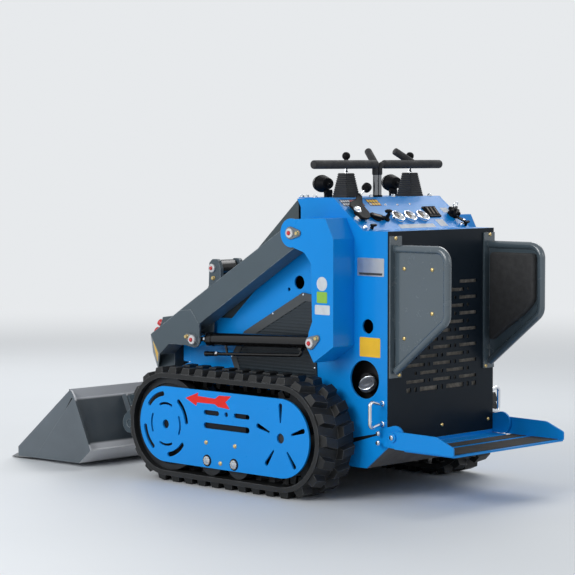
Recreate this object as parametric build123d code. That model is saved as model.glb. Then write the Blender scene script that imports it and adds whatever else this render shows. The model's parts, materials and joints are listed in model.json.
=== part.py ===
from build123d import *
from math import atan2, cos, degrees, hypot, pi, radians, sin, sqrt
import os

# Compact stand-on track loader: rubber tracks, radial lift arms with a bucket, and a fold-up
# platform for the operator behind the machine.
# Millimetres. +X is forward, +Y is the operator's left, +Z is up and the ground is z = 0.
# Everything is drawn about the middle of the track wheelbase and moved at the end so that the
# origin is on the ground under the middle of the overall length.

# ---------------------------------------------------------------- driving dimensions
overall_width = 1000.0
running_gap = 7.0            # between moving pieces and what stands beside them
seat_gap = 0.3               # between a curved or soft piece and what carries it
pin_play = 0.5               # radial play of a pin in its bore

# Tracks
track_width = 180.0
track_gap = 27.0             # between a track and the body's side plate
wheelbase = 600.0            # drive sprocket to idler
belt_inner_radius = 174.0
belt_thickness = 18.0
lug_height = 23.0
link_count = 33
sprocket_teeth = 16
guide_height = 30.0
guide_width = 40.0

# Body
plate_thickness = 8.0
sheet_thickness = 4.0
belly_z = 111.0
shelf_z = 953.0              # lower rear shelf of the console
deck_z = 1067.0              # top of the body
guard_x = -627.0             # rear face of the body
hood_slope = 41.8            # degrees
hood_depth = 112.0           # of the hood's skirt, square to its slope
cowl_front_x = 438.0
cowl_top_z = 608.0
cowl_bottom_z = 430.0

# Loader
lift_pivot_x = -263.0
lift_pivot_z = 942.0
lift_angle = 85.0            # degrees of lift
tower_width = 110.0
arm_width = 80.0
lift_base_x = -362.0         # lower pin of the lift cylinder, in the tower
lift_base_z = 553.0
lift_rod_x = 257.6           # rod end pin of the lift cylinder, in the arm
lift_rod_z = 528.2
tilt_base_x = 493.0          # upper pin of the tilt cylinder, on the arms
tilt_base_z = 776.0
hitch_x = 716.0              # pivot of the hitch plate
hitch_z = 165.0
tilt_lever = 165.0           # hitch pivot to tilt cylinder pin
tilt_lever_angle = 70.6      # degrees above level, forward
curl_angle = 25.0
dump_angle = 110.0

# Bucket
bucket_inset = 10.0          # of the bucket's sides from the overall width
bucket_heel_x = 805.0
bucket_heel_z = 16.0
bucket_pitch = 1.2           # degrees nose down

# Platform
platform_pin_x = -670.0
platform_pin_z = 235.0
platform_overhang = 20.0     # beyond the side plates
platform_length = 274.5      # behind its pin
platform_fold = 70.0         # degrees

# ---------------------------------------------------------------- values worked out
lug_tip_radius = belt_inner_radius + belt_thickness + lug_height
wheel_z = lug_tip_radius
half_base = wheelbase / 2
body_half_width = overall_width / 2 - track_width - track_gap    # outer faces of the side plates
bucket_half_width = overall_width / 2 - bucket_inset
platform_half_width = body_half_width + platform_overhang
track_y = (overall_width - track_width) / 2
track_in = track_y - track_width / 2
track_out = track_y + track_width / 2
side_in = body_half_width - plate_thickness
tower_out = body_half_width + tower_width
tower_plate_in = tower_out - plate_thickness
tower_inner_face = body_half_width + plate_thickness
arm_out = tower_plate_in - running_gap
arm_in = arm_out - arm_width
arm_y = (arm_in + arm_out) / 2


# ---------------------------------------------------------------- helpers
def block(x0, x1, y0, y1, z0, z1):
    """Box between two corners."""
    return Pos(x0, y0, z0) * Box(x1 - x0, y1 - y0, z1 - z0, align=(Align.MIN,) * 3)


def plate(points, y_in, y_out, corners=None, holes=()):
    """Plate cut to a side-view outline; corners is {point number: radius}, holes (x, z, diameter)."""
    sketch = Polygon(*points, align=None)
    for number, radius in (corners or {}).items():
        x, z = points[number]
        sketch = fillet(sketch.vertices().sort_by_distance((x, z, 0))[0], radius)
    for x, z, diameter in holes:
        sketch -= Pos(x, z) * Circle(diameter / 2)
    return extrude_side(sketch, y_in, y_out)


def extrude_side(sketch, y_in, y_out):
    """Side-view sketch made solid from y_in to y_out."""
    return Pos(0, y_out, 0) * extrude(Plane.XZ * sketch, y_out - y_in, dir=(0, -1, 0))


def bent_sheet(points, thickness, y_in, y_out):
    """Sheet folded along a side-view polyline, its thickness to the left of the line."""
    normals = []
    for (xa, za), (xb, zb) in zip(points, points[1:]):
        length = hypot(xb - xa, zb - za)
        normals.append(((za - zb) / length, (xb - xa) / length))
    back = []
    for i, (x, z) in enumerate(points):
        before = normals[max(i - 1, 0)]
        after = normals[min(i, len(normals) - 1)]
        reach = thickness / (1 + before[0] * after[0] + before[1] * after[1])
        back.append((x + (before[0] + after[0]) * reach, z + (before[1] + after[1]) * reach))
    return plate(points + back[::-1], y_in, y_out)


def round_y(x, z, radius, y_in, y_out):
    """Round bar or disc along Y."""
    return Pos(x, (y_in + y_out) / 2, z) * Rot(90, 0, 0) * Cylinder(radius, abs(y_out - y_in))


def bar(start, end, radius):
    """Round bar between two points."""
    axis = Vector(*end) - Vector(*start)
    base = Cylinder(radius, axis.length, align=(Align.CENTER, Align.CENTER, Align.MIN))
    return Plane(origin=start, z_dir=axis) * base


def pipe(points, radius, bend):
    """Round tube along straight runs joined by bends."""
    path = FilletPolyline(*points, radius=bend)
    return sweep(Plane(origin=path @ 0, z_dir=path % 0) * Circle(radius), path)


def mirrored(shape):
    """The same piece on the other side of the machine."""
    return mirror(shape, about=Plane.XZ)


def both(shape):
    """A piece and its mirror image, as separate solids."""
    return Compound([*shape.solids(), *mirrored(shape).solids()])


def polar(x, z, length, angle):
    """Point at a distance and an angle above level from (x, z)."""
    return (x + length * cos(radians(angle)), z + length * sin(radians(angle)))


nodes = {}

# ---------------------------------------------------------------- tracks
# A rubber belt on a sprocket at the rear, an idler at the front and two rollers below, with two
# staggered rows of tapered lugs outside and one row of guide lugs inside.
belt_outer_radius = belt_inner_radius + belt_thickness
pitch_radius = sprocket_teeth * wheelbase * 2 / (link_count - sprocket_teeth) / (2 * pi)
link_pitch = (2 * wheelbase + 2 * pi * pitch_radius) / link_count
lug_length = 46.0
lug_row_width = 70.0
lug_margin = 10.0            # from the edge of the belt to a row of lugs
lug_skew = 8.0               # of a lug's sides, which gives the tread its chevrons
lug_taper = 14.0
guide_length = 26.0


def racetrack(radius):
    """Side-view outline round both wheel centres."""
    return Pos(0, wheel_z) * SlotCenterToCenter(wheelbase, 2 * radius)


def on_belt(distance, radius, y):
    """Place on the loop, with +Z outward and +X along the run."""
    run = distance % (2 * wheelbase + 2 * pi * pitch_radius)
    if run < wheelbase:
        x, angle = half_base - run, 90.0
    elif run < wheelbase + pi * pitch_radius:
        x, angle = -half_base, 90.0 + degrees((run - wheelbase) / pitch_radius)
    elif run < 2 * wheelbase + pi * pitch_radius:
        x, angle = run - wheelbase - pi * pitch_radius - half_base, 270.0
    else:
        x, angle = half_base, 270.0 + degrees((run - 2 * wheelbase) / pitch_radius) - 180.0
    place = polar(x, wheel_z, radius, angle)
    return Pos(place[0], y, place[1]) * Rot(0, 90 - angle, 0)


def make_track():
    sink = 3.0               # a lug's root lies this deep in the belt
    belt = racetrack(belt_outer_radius) - racetrack(belt_inner_radius)
    belt = extrude_side(belt, track_in, track_out)
    half, wide = lug_length / 2, lug_row_width / 2
    lug = extrude(Polygon((-half - lug_skew, -wide), (half - lug_skew, -wide), (half + lug_skew, wide),
                          (lug_skew - half, wide), align=None), lug_height + sink, taper=lug_taper)
    guide = extrude(Rectangle(guide_length, guide_width), guide_height + sink, taper=10)
    lugs = []
    for link in range(link_count):
        for row, shift in ((-1, 0.0), (1, 0.5)):
            y = track_y + row * ((track_width - lug_row_width) / 2 - lug_margin)
            spot = on_belt((link + shift) * link_pitch, belt_outer_radius - sink, y)
            lugs.append(spot * (lug if row > 0 else mirrored(lug)))
        spot = on_belt(link * link_pitch, belt_inner_radius + sink, track_y)
        lugs.append(spot * Rot(180, 0, 0) * guide)
    return belt + lugs


track = make_track()
nodes["track_left"] = track
nodes["track_right"] = mirrored(track)

# ---------------------------------------------------------------- track frame and cover
cover_radius = 142.0
cover_out = track_out - 5.0
cover_in = cover_out - plate_thickness
frame_plate_in = track_in + 5.0
beam_half_length = half_base - belt_inner_radius - running_gap - 1
beam_bottom = wheel_z - 50.0
beam_top = wheel_z + 85.0
stub_spacing = 240.0         # between the stub beams that join a track frame to the body
roller_radius = 57.0
roller_spacing = 141.0
roller_shift = 5.5
roller_z = wheel_z - belt_inner_radius + roller_radius + seat_gap
axle_radius = 16.0


def arc_slot(x, z, radius, width, middle, span):
    """Curved slot with round ends about (x, z), its middle at an angle."""
    ring = Circle(radius + width / 2) - Circle(radius - width / 2)
    points = [(0, 0)]
    for step in range(5):
        points.append(polar(0, 0, 2 * radius, middle + span * (step / 4 - 0.5)))
    slot = ring & Polygon(*points, align=None)
    for end in (-0.5, 0.5):
        slot += Pos(*polar(0, 0, radius, middle + end * span)) * Circle(width / 2)
    return Pos(x, z) * slot


def make_cover():
    """Blue cover plate with concentric arc slots in front and a star of tapered slots behind."""
    sketch = racetrack(cover_radius)
    for quarter in range(4):
        sketch -= arc_slot(half_base, wheel_z, 114, 18, 60 + 90 * quarter, 43)
        sketch -= arc_slot(half_base, wheel_z, 78, 9, 90 * quarter, 47)
    ray = Polygon((56, -3.5), (117, -9), (117, 9), (56, 3.5), align=None) + Pos(117, 0) * Circle(9)
    for spoke in range(5):
        sketch -= Pos(-half_base, wheel_z) * Rot(0, 0, 90 + 72 * spoke) * ray
    for x, radius in ((half_base, 17), (-half_base, 18)):
        sketch -= Pos(x, wheel_z) * Circle(radius)
    for x0, x1, z, width in ((13, 94, 277, 18), (-145, -64, 277, 18), (-145, 94, 229, 22)):
        sketch -= Pos((x0 + x1) / 2, z) * SlotOverall(x1 - x0, width)
    sketch -= Pos(-24.6, 277) * Circle(9)
    return extrude_side(sketch, cover_in, cover_out)


def make_track_frame():
    """Inner plate, central beam, axles for the idler and rollers, and stub beams to the body."""
    frame = extrude_side(racetrack(cover_radius), frame_plate_in, frame_plate_in + plate_thickness)
    frame += block(-beam_half_length, beam_half_length, frame_plate_in, cover_in, beam_bottom, beam_top)
    frame += round_y(half_base, wheel_z, axle_radius, frame_plate_in, cover_in)
    for side in (-1, 1):
        x = roller_shift + side * roller_spacing / 2
        frame += round_y(x, roller_z, axle_radius, frame_plate_in, cover_in)
    frame -= round_y(-half_base, wheel_z, 75, frame_plate_in - 1, frame_plate_in + plate_thickness + 1)
    for x in (-stub_spacing / 2, stub_spacing / 2):
        frame += block(x - 30, x + 30, body_half_width, frame_plate_in, beam_bottom + 20, beam_top)
    return frame


cover = make_cover()
track_frame = make_track_frame()
nodes["track_cover_left"] = cover
nodes["track_cover_right"] = mirrored(cover)
nodes["track_frame_left"] = track_frame
nodes["track_frame_right"] = mirrored(track_frame)

# ---------------------------------------------------------------- sprocket, idler and rollers
rim_width = 38.0
rim_gap = 6.0                # from a rim to the guide lugs
wheel_web_in = track_y - guide_width / 2 - rim_gap - rim_width
tooth_tip = belt_inner_radius - 3.0
tooth_root = belt_inner_radius - guide_height - 5.0
motor_radius = 68.0


def flanged_wheel(x, z, radius, hub_radius):
    """Two rims either side of the guide lugs on one hub, with a bore for the axle."""
    inner = guide_width / 2 + rim_gap
    wheel = round_y(x, z, hub_radius, track_y - inner - rim_width, track_y + inner + rim_width)
    for side in (-1, 1):
        y = track_y + side * (inner + rim_width / 2)
        wheel += round_y(x, z, radius, y - rim_width / 2, y + rim_width / 2)
    return wheel - round_y(x, z, axle_radius + seat_gap, track_in, track_out)


def make_idler():
    wheel = flanged_wheel(half_base, wheel_z, belt_inner_radius - seat_gap, 60)
    dish = belt_inner_radius - 22
    for side in (-1, 1):
        y = track_y + side * (guide_width / 2 + rim_gap + rim_width)
        ring = round_y(half_base, wheel_z, dish, y - 12, y + 12)
        ring -= round_y(half_base, wheel_z, 46, y - 13, y + 13)
        wheel -= ring
    return wheel


def make_sprocket():
    """Toothed wheel on a drive hub, meshing between the guide lugs."""
    sketch = Circle(tooth_root)
    half_root, half_tip = 19.0, 11.0
    tooth = Polygon((tooth_root - 20, -half_root), (tooth_tip, -half_tip), (tooth_tip, half_tip),
                    (tooth_root - 20, half_root), align=None)
    for number in range(sprocket_teeth):
        sketch += Rot(0, 0, 90 + number * 360.0 / sprocket_teeth) * tooth
    for number in range(5):
        sketch -= Rot(0, 0, 90 + number * 72) * Pos(96, 0) * Circle(15)
    placed = Pos(-half_base, wheel_z) * sketch
    wheel = extrude_side(placed, track_y - guide_width / 2, track_y + guide_width / 2)
    wheel += round_y(-half_base, wheel_z, motor_radius, body_half_width, track_y + 30)
    wheel += round_y(-half_base, wheel_z, 40, track_y, cover_in - seat_gap)
    return wheel


rollers = []
for side in (-1, 1):
    x = roller_shift + side * roller_spacing / 2
    rollers += flanged_wheel(x, roller_z, roller_radius, 24).solids()
idler = make_idler()
sprocket = make_sprocket()
nodes["sprocket_left"] = sprocket
nodes["sprocket_right"] = mirrored(sprocket)
nodes["idler_left"] = idler
nodes["idler_right"] = mirrored(idler)
nodes["track_rollers_left"] = Compound(rollers)
nodes["track_rollers_right"] = mirrored(Compound(rollers))

# ---------------------------------------------------------------- chassis
# Welded tub between the tracks, closed by the side plates, with the ears of the platform's
# hinge behind.
ear_radius = 40.0
hinge_pin_radius = 11.0
ear_in = body_half_width
ear_out = ear_in + 8.0
rear_bottom_x = -529.0
rear_sill_z = 192.0
tub_top_z = 240.0


def make_chassis():
    front_x = cowl_front_x - 10
    line = [(front_x, cowl_bottom_z - 20), (front_x, belly_z), (rear_bottom_x, belly_z),
            (guard_x, rear_sill_z), (guard_x, tub_top_z)]
    tub = bent_sheet(line[::-1], 10, -side_in, side_in)
    return tub


def make_hinge_ear():
    """Ear on the side plate with the pin that the platform turns on."""
    ear = plate([(guard_x + 28, rear_sill_z + 6), (platform_pin_x, platform_pin_z - ear_radius),
                 (platform_pin_x, platform_pin_z + ear_radius), (guard_x + 28, platform_pin_z + 24)],
                ear_in, ear_out)
    ear += round_y(platform_pin_x, platform_pin_z, ear_radius, ear_in, ear_out)
    ear += round_y(platform_pin_x, platform_pin_z, hinge_pin_radius, ear_out, platform_half_width + 4)
    return ear + round_y(platform_pin_x, platform_pin_z, 17, platform_half_width + 1, platform_half_width + 5)


# Blue side plates, one each side, in one piece from the belly to the top deck.
window_x, window_z, window_diameter = -520.0, 426.5, 137.0
lashing_x, lashing_z, lashing_diameter = -535.0, 616.0, 52.0
hood_top_x = -188.0
hood_foot_x = hood_top_x + (deck_z - 5 - cowl_top_z) / sin(radians(hood_slope)) * cos(radians(hood_slope))
edge_drop = hood_depth / cos(radians(hood_slope))
console_top_x = -369.0
console_foot_x = -513.0


def hood_line(x):
    """Height of the hood's top face at x."""
    return deck_z - 5 - (x - hood_top_x) * sin(radians(hood_slope)) / cos(radians(hood_slope))


def make_side_plate():
    step_x = hood_top_x - 19
    foot_x = hood_foot_x - edge_drop / (sin(radians(hood_slope)) / cos(radians(hood_slope)))
    outline = [(hood_top_x, deck_z - 5), (step_x, deck_z - 36), (step_x, hood_line(step_x) - edge_drop),
               (foot_x, cowl_top_z), (cowl_front_x - 60, cowl_top_z), (cowl_front_x - 60, cowl_bottom_z),
               (cowl_front_x - 10, cowl_bottom_z - 20), (cowl_front_x - 10, belly_z),
               (rear_bottom_x, belly_z), (guard_x, rear_sill_z), (guard_x, shelf_z),
               (console_foot_x, shelf_z), (console_top_x, deck_z)]
    holes = [(-200, 758, 50), (-147.5, 730.5, 14), (lashing_x, lashing_z, lashing_diameter),
             (window_x, window_z, window_diameter)]
    return plate(outline, side_in, body_half_width, {3: 20}, holes)


side_plate = make_side_plate()
nodes["chassis_frame"] = make_chassis()
nodes["hinge_ears"] = both(make_hinge_ear())
nodes["side_plate_left"] = side_plate
nodes["side_plate_right"] = mirrored(side_plate)

# ---------------------------------------------------------------- hood, cowl and vents
def make_hood():
    """Sloping grey hood with skirts, folded from one sheet."""
    half = side_in - seat_gap
    foot_z = cowl_top_z + sheet_thickness
    foot_x = hood_foot_x - sheet_thickness * cos(radians(hood_slope)) / sin(radians(hood_slope))
    line = [(foot_x, foot_z), (hood_top_x, deck_z - 5)]
    hood = bent_sheet(line, sheet_thickness, -half, half)
    skirt = [(hood_foot_x - 6, cowl_top_z + seat_gap), (hood_top_x, deck_z - 6),
             (hood_top_x, hood_line(hood_top_x) - edge_drop - 20),
             (hood_foot_x - edge_drop - 30, cowl_top_z + seat_gap)]
    for side in (-1, 1):
        y = sorted((side * half, side * (half - sheet_thickness)))
        hood += plate(skirt, y[0], y[1])
    return hood


def make_cowl():
    """Blue front cowl with chamfered corners and a radiator grille in its front face."""
    rear_x = cowl_front_x - 60
    corner = 22.0
    half = body_half_width
    outer = Polygon((rear_x, -half), (cowl_front_x - corner, -half), (cowl_front_x, corner - half),
                    (cowl_front_x, half - corner), (cowl_front_x - corner, half), (rear_x, half), align=None)
    wall = 5.0
    cowl = extrude(Pos(0, 0, cowl_bottom_z) * outer, cowl_top_z - cowl_bottom_z)
    inner = offset(outer, -wall, kind=Kind.INTERSECTION)
    cavity = extrude(Pos(0, 0, cowl_bottom_z - 1) * inner, cowl_top_z - wall - cowl_bottom_z + 1)
    cowl -= cavity
    cowl -= block(rear_x - 1, rear_x + wall + 1, wall - half, half - wall,
                  cowl_bottom_z - 1, cowl_top_z - wall)
    slot_count = 6
    pitch = (cowl_top_z - cowl_bottom_z - 40) / slot_count
    for row in range(slot_count):
        z = cowl_bottom_z + 20 + (row + 0.5) * pitch
        cowl -= block(cowl_front_x - 10, cowl_front_x + 1, -180, 180, z - 6, z + 6)
    top = block(hood_foot_x - edge_drop - 120, rear_x, -side_in + 1, side_in - 1,
                cowl_top_z - wall, cowl_top_z)
    return cowl + top


def make_vent():
    """Louvred engine vent on the side plate: a plain border round a recessed field of fine louvres."""
    out = body_half_width + 6
    outline = [(-272, 716), (-222, 722), (79, 564), (150, 467), (118, 396), (-294, 396)]
    field = Polygon((-262, 704), (-224, 710), (72, 554), (137, 467), (111, 407), (-282, 407), align=None)
    vent = plate(outline, body_half_width, out, {1: 12, 2: 12, 3: 10, 5: 26})
    vent -= extrude_side(field, out - 2.5, out + 1)
    rows, low_z, high_z = 24, 411, 699
    for row in range(rows):
        z = low_z + (row + 0.5) * (high_z - low_z) / rows
        louvre = field & Pos(0, z) * Rectangle(700, 5)
        vent += extrude_side(louvre, out - 3.5, out + 1)
    return vent


vent = make_vent()
nodes["hood"] = make_hood()
nodes["front_cowl"] = make_cowl()
nodes["side_vent_left"] = vent
nodes["side_vent_right"] = mirrored(vent)

# ---------------------------------------------------------------- engine and fuel tank
engine_rear_x, engine_front_x = -130.0, 190.0
engine_bottom_z = belly_z + 100
engine_half_width = side_in - 100
foot_y, foot_half = engine_half_width - 35, 20.0
engine = block(engine_rear_x, engine_front_x, -engine_half_width, engine_half_width,
               engine_bottom_z, cowl_top_z - 13)
for side in (-1, 1):
    engine += block(engine_rear_x + 40, engine_front_x - 40, side * foot_y - foot_half,
                    side * foot_y + foot_half, belly_z + 10, engine_bottom_z + 10)
tank_rear_x, tank_front_x = window_x - 80, window_x + 190
tank_inner_y, tank_outer_y = 40.0, side_in - 60
cap_radius = 36.0
tank_low_z, tank_high_z = window_z - 126.5, window_z + 113.5
tank = block(tank_rear_x, tank_front_x, tank_inner_y, tank_outer_y, tank_low_z, tank_high_z)
tank = fillet(tank.edges(), 18)
tank += round_y(window_x + 30, window_z - 18, cap_radius, tank_outer_y - 1, tank_outer_y + 22)
tank_feet = block(rear_bottom_x + 19, tank_front_x - 10, tank_inner_y + 20, tank_outer_y - 53,
                  belly_z + 10, tank_low_z + 2)
nodes["engine_block"] = engine
nodes["fuel_tank"] = tank + tank_feet

# ---------------------------------------------------------------- console and controls
console_line = [(guard_x, shelf_z), (console_foot_x, shelf_z), (console_top_x, deck_z),
                (hood_top_x, deck_z)]
console_slope = degrees(atan2(deck_z - shelf_z, console_top_x - console_foot_x))


def on_console(height, y, lift=0.0):
    """Place on the console's slope at a height, with +Z square to it."""
    x = console_foot_x + (height - shelf_z) / (deck_z - shelf_z) * (console_top_x - console_foot_x)
    return Pos(x, y, height) * Rot(0, -console_slope, 0) * Pos(0, 0, lift)


def dial(radius, depth):
    """Disc standing on the console."""
    return Cylinder(radius, depth, align=(Align.CENTER, Align.CENTER, Align.MIN))


def make_controls():
    """Gauges, rocker switches, key, turning knobs and throttle lever on the console's slope."""
    pieces = []
    for y in (56, -11, -82):
        pieces.append(on_console(993, y) * dial(26, 6))
    pieces.append(on_console(996, -155, 4) * Box(52, 46, 8))
    pieces.append(on_console(997, 24 - side_in) * dial(18, 18))
    pieces.append(on_console(1003, 87) * dial(9, 12))
    pieces.append(on_console(994, 164) * dial(11, 12))
    pieces.append(on_console(1006, side_in - 48) * dial(22, 10))
    pieces.append(on_console(1006, side_in - 48, 10) * dial(14, 12))
    foot = on_console(1050, 140)
    knob = (-369, 117, 1102)
    arm = bar(tuple((foot * Pos(0, 0, 8)).position), knob, 4)
    pieces.append(foot * dial(9, 12) + arm + Pos(*knob) * Sphere(15))
    return Compound([solid for piece in pieces for solid in piece.solids()])


nodes["console"] = bent_sheet(console_line[::-1], sheet_thickness, -side_in + seat_gap, side_in - seat_gap)
nodes["console_controls"] = make_controls()

# ---------------------------------------------------------------- drive levers and hand grips
lever_x = -322.0
lever_y = 176.0
boot_half = 37.0
boot_top_half = 23.0
boot_top_z = 1155.0
knob_z = 1216.0
knob_radius = 15.0
shaft_radius = 5.0
grip_x = -356.0
grip_z = 1186.0
grip_radius = 16.0
stub_radius = 14.0
stub_rise = 50.0
post_radius = 8.0
sleeve_low_z = 1152.0


def make_boot():
    """Ribbed rubber boot, square and tapered, in pleats."""
    pleats = 6
    rise = (boot_top_z - deck_z) / pleats
    boot = None
    for step in range(pleats):
        wide = boot_half - (boot_half - boot_top_half) * step / pleats
        narrow = wide - (boot_half - boot_top_half) / pleats - 2.5
        low = Pos(lever_x, lever_y, deck_z + step * rise) * Rectangle(2 * wide, 2 * wide)
        high = Pos(lever_x, lever_y, deck_z + (step + 1) * rise) * Rectangle(2 * narrow, 2 * narrow)
        pleat = loft([low, high])
        boot = pleat if boot is None else boot + pleat
    return boot


def make_lever():
    """Chrome shaft with a ball knob."""
    shaft = bar((lever_x, lever_y, boot_top_z), (lever_x, lever_y, knob_z), shaft_radius)
    return shaft + Pos(lever_x, lever_y, knob_z) * Sphere(knob_radius)


def make_grip(post_y, foam_y, end_y, stub_y, stub_forward, stub_reach):
    """Chrome post bent to a level bar, with an inclined stub; all above the bend is foam covered."""
    bend = 18.0
    post = pipe([(grip_x, post_y, deck_z), (grip_x, post_y, grip_z), (grip_x, end_y, grip_z)],
                post_radius, bend)
    foam = round_y(grip_x, grip_z, grip_radius, foam_y, end_y)
    stub_tip = (grip_x + stub_forward, stub_y + stub_reach, grip_z + stub_rise)
    stub = bar((grip_x, stub_y, grip_z), stub_tip, stub_radius)
    collar = Pos(grip_x, post_y, deck_z) * dial(11, 8)
    sleeve = Pos(grip_x, post_y, sleeve_low_z) * dial(11, grip_z - bend - sleeve_low_z)
    return post + foam + stub + collar + sleeve


nodes["lever_boots"] = both(make_boot())
nodes["drive_levers"] = both(make_lever())
nodes["hand_grip_left"] = make_grip(57, 49, 388, 56, 66, -32)
nodes["hand_grip_right"] = make_grip(33, 15, -311, -162, 30, 80)

# ---------------------------------------------------------------- work lamps
lamp_x, lamp_y, lamp_z = -224.0, 189.0, 1116.0


def make_lamp():
    """Oval lamp that looks forward, on a short bracket."""
    def section(x, size):
        place = Plane(origin=(lamp_x + x, lamp_y, lamp_z), x_dir=(0, 1, 0), z_dir=(1, 0, 0))
        return place * Ellipse(40 * size, 29 * size)

    lamp = loft([section(-22, 0.7), section(0, 1.0)]) + loft([section(0, 1.0), section(20, 1.0)])
    foot = block(lamp_x - 20, lamp_x - 4, lamp_y - 24, lamp_y + 4, deck_z, lamp_z - 22)
    return lamp + foot


nodes["work_lamps"] = both(make_lamp())

# ---------------------------------------------------------------- rear guard
guard_half_width = body_half_width - 1
guard_bottom_z = 209.0


def make_guard():
    """Perforated steel panel behind the engine bay, with rows of long slots and small holes in turn."""
    x0, x1 = guard_x - sheet_thickness, guard_x
    panel = block(x0, x1, -guard_half_width, guard_half_width, guard_bottom_z, shelf_z)
    slots = []
    rows, row_pitch, column_pitch, first_row_z = 14, 28.9, 72.6, 387.5
    long_slot, hole, end_hole = 98.0, 12.0, 24.0
    for row in range(rows):
        z = first_row_z + row * row_pitch
        half_height = 8 if row == 0 else 6
        for column in range(-2, 3):
            if (row + column) % 2:
                length = long_slot
            elif row < rows - 1:
                length = hole
            else:
                continue
            slots.append((column * column_pitch, length, z, half_height))
    for y in (-2.5 * column_pitch, 2.5 * column_pitch):
        slots.append((y, end_hole, first_row_z, 8))
    slots = [block(x0 - 1, x1 + 1, y - length / 2, y + length / 2, z - half, z + half)
             for y, length, z, half in slots]
    return panel - slots


nodes["rear_guard"] = make_guard()

# ---------------------------------------------------------------- hip guards and pads
hip_y = body_half_width - 30
hip_tube = 14.0
hip_top_z, hip_rear_x = 893.0, -874.0
hip_bend_z, hip_foot_z = 652.0, 462.0
hip_bend = 45.0


def make_hip_guard():
    """Bent tube with a steel plate in it, on a strip that is bolted to the rear face."""
    front_x = guard_x - sheet_thickness - seat_gap
    foot = (front_x - 10, hip_foot_z)
    centre = [(front_x, hip_top_z), (hip_rear_x, hip_top_z), (hip_rear_x, hip_bend_z), foot]
    guard = pipe([(x, hip_y, z) for x, z in centre], hip_tube, hip_bend)
    guard += plate(centre, hip_y - 3, hip_y + 3, {1: hip_bend, 2: hip_bend})
    return guard + block(front_x - 6, front_x, hip_y - 34, body_half_width - 3, 438, 937)


def make_hip_pad():
    """Foam pad on the inner face of the plate."""
    inset = [(-658, 866), (-856, 866), (-856, 695), (-820, 655), (-658, 540)]
    return plate(inset, hip_y - 30, hip_y - 3 - seat_gap, {0: 14, 1: 16, 2: 14, 3: 14, 4: 14})


hip_guard = make_hip_guard()
hip_pad = make_hip_pad()
nodes["hip_guard_left"] = hip_guard
nodes["hip_guard_right"] = mirrored(hip_guard)
nodes["hip_pad_left"] = hip_pad
nodes["hip_pad_right"] = mirrored(hip_pad)

# ---------------------------------------------------------------- rear hand holds
hold_x = -605.0
hold_low_z, hold_high_z = 275.0, 348.0
hold_reach = 66.0
hold_flare = 12.0


def make_hold():
    """D-shaped chrome rod on the side plate."""
    y0 = body_half_width
    neck = y0 + 20
    path = [(hold_x, y0, hold_low_z), (hold_x, neck, hold_low_z),
            (hold_x, y0 + hold_reach, hold_low_z - hold_flare),
            (hold_x, y0 + hold_reach, hold_high_z + hold_flare),
            (hold_x, neck, hold_high_z), (hold_x, y0, hold_high_z)]
    return pipe(path, 6.5, 14)


nodes["hand_holds"] = both(make_hold())

# ---------------------------------------------------------------- platform
# Folding steel platform on two pins, with two grip strips on its deck.
deck_plate_z = 195.0
platform_rear_x = platform_pin_x - platform_length


def make_platform():
    out = platform_half_width
    inside = out - plate_thickness
    cheek = plate([(platform_pin_x + 22, platform_pin_z - 20), (platform_pin_x + 22, platform_pin_z + 16),
                   (platform_pin_x - 17, platform_pin_z + 22), (platform_rear_x + 76, platform_pin_z + 20),
                   (platform_rear_x, platform_pin_z - 12), (platform_rear_x, platform_pin_z - 41),
                   (platform_pin_x - 10, platform_pin_z - 41)], inside, out, {1: 10, 2: 8, 3: 8})
    cheek -= round_y(platform_pin_x, platform_pin_z, hinge_pin_radius + pin_play, inside - 1, out + 1)
    front_x = platform_pin_x - ear_radius - 8
    tread = block(platform_rear_x, front_x, -inside, inside, deck_plate_z - 6, deck_plate_z)
    rear = block(platform_rear_x, platform_rear_x + 8, -inside, inside, deck_plate_z - 6, deck_plate_z + 28)
    return tread + rear + cheek + mirrored(cheek)


nodes["platform"] = make_platform()

# ---------------------------------------------------------------- towers
pin_radius = 15.0
base_pin_radius = 12.5
tower_rear_x = -470.0
tower_top_z = 995.0


def tower_outline():
    ear = 52.0
    main = Polygon((lift_pivot_x + 17, lift_pivot_z + 49), (tower_rear_x + 39, tower_top_z + 2),
                   (tower_rear_x, tower_top_z - 70), (tower_rear_x, lift_base_z - 8),
                   (lift_base_x - 14, lift_base_z - 69), (lift_base_x + 18, lift_base_z - 20),
                   (lift_base_x + 11, lift_base_z + 38), (lift_base_x - 6, lift_base_z + 76),
                   (lift_base_x - 3, lift_base_z + 178), (lift_base_x, lift_pivot_z - 106),
                   (lift_base_x + 34, lift_pivot_z - 68), (lift_pivot_x + 3, lift_pivot_z - 47.5), align=None)
    return main + Pos(lift_pivot_x, lift_pivot_z) * Circle(ear) + Pos(lift_base_x, lift_base_z) * Circle(26)


def make_tower():
    """Boxed upright: two plates with the pins between them, closed at the rear and top."""
    outline = tower_outline()
    tower = extrude_side(outline, tower_plate_in, tower_out)
    tower += extrude_side(outline, body_half_width, tower_inner_face)
    closing = [(lift_base_x - 14, lift_base_z - 69), (tower_rear_x, lift_base_z - 8),
               (tower_rear_x, tower_top_z - 70), (tower_rear_x + 39, tower_top_z + 2),
               (lift_pivot_x - 72, tower_top_z)]
    tower += bent_sheet(closing[::-1], plate_thickness, body_half_width, tower_out)
    tower += plate([(lift_base_x - 14, lift_base_z + 90), (lift_base_x - 5, lift_base_z + 90),
                    (lift_base_x - 4, lift_pivot_z - 125), (lift_base_x - 13, lift_pivot_z - 125)],
                   body_half_width, tower_out)
    tower += round_y(lift_pivot_x, lift_pivot_z, pin_radius, body_half_width, tower_out + 6)
    tower += round_y(lift_base_x, lift_base_z, base_pin_radius, body_half_width, tower_out + 6)
    return tower


tower = make_tower()
nodes["tower_left"] = tower
nodes["tower_right"] = mirrored(tower)

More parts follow.
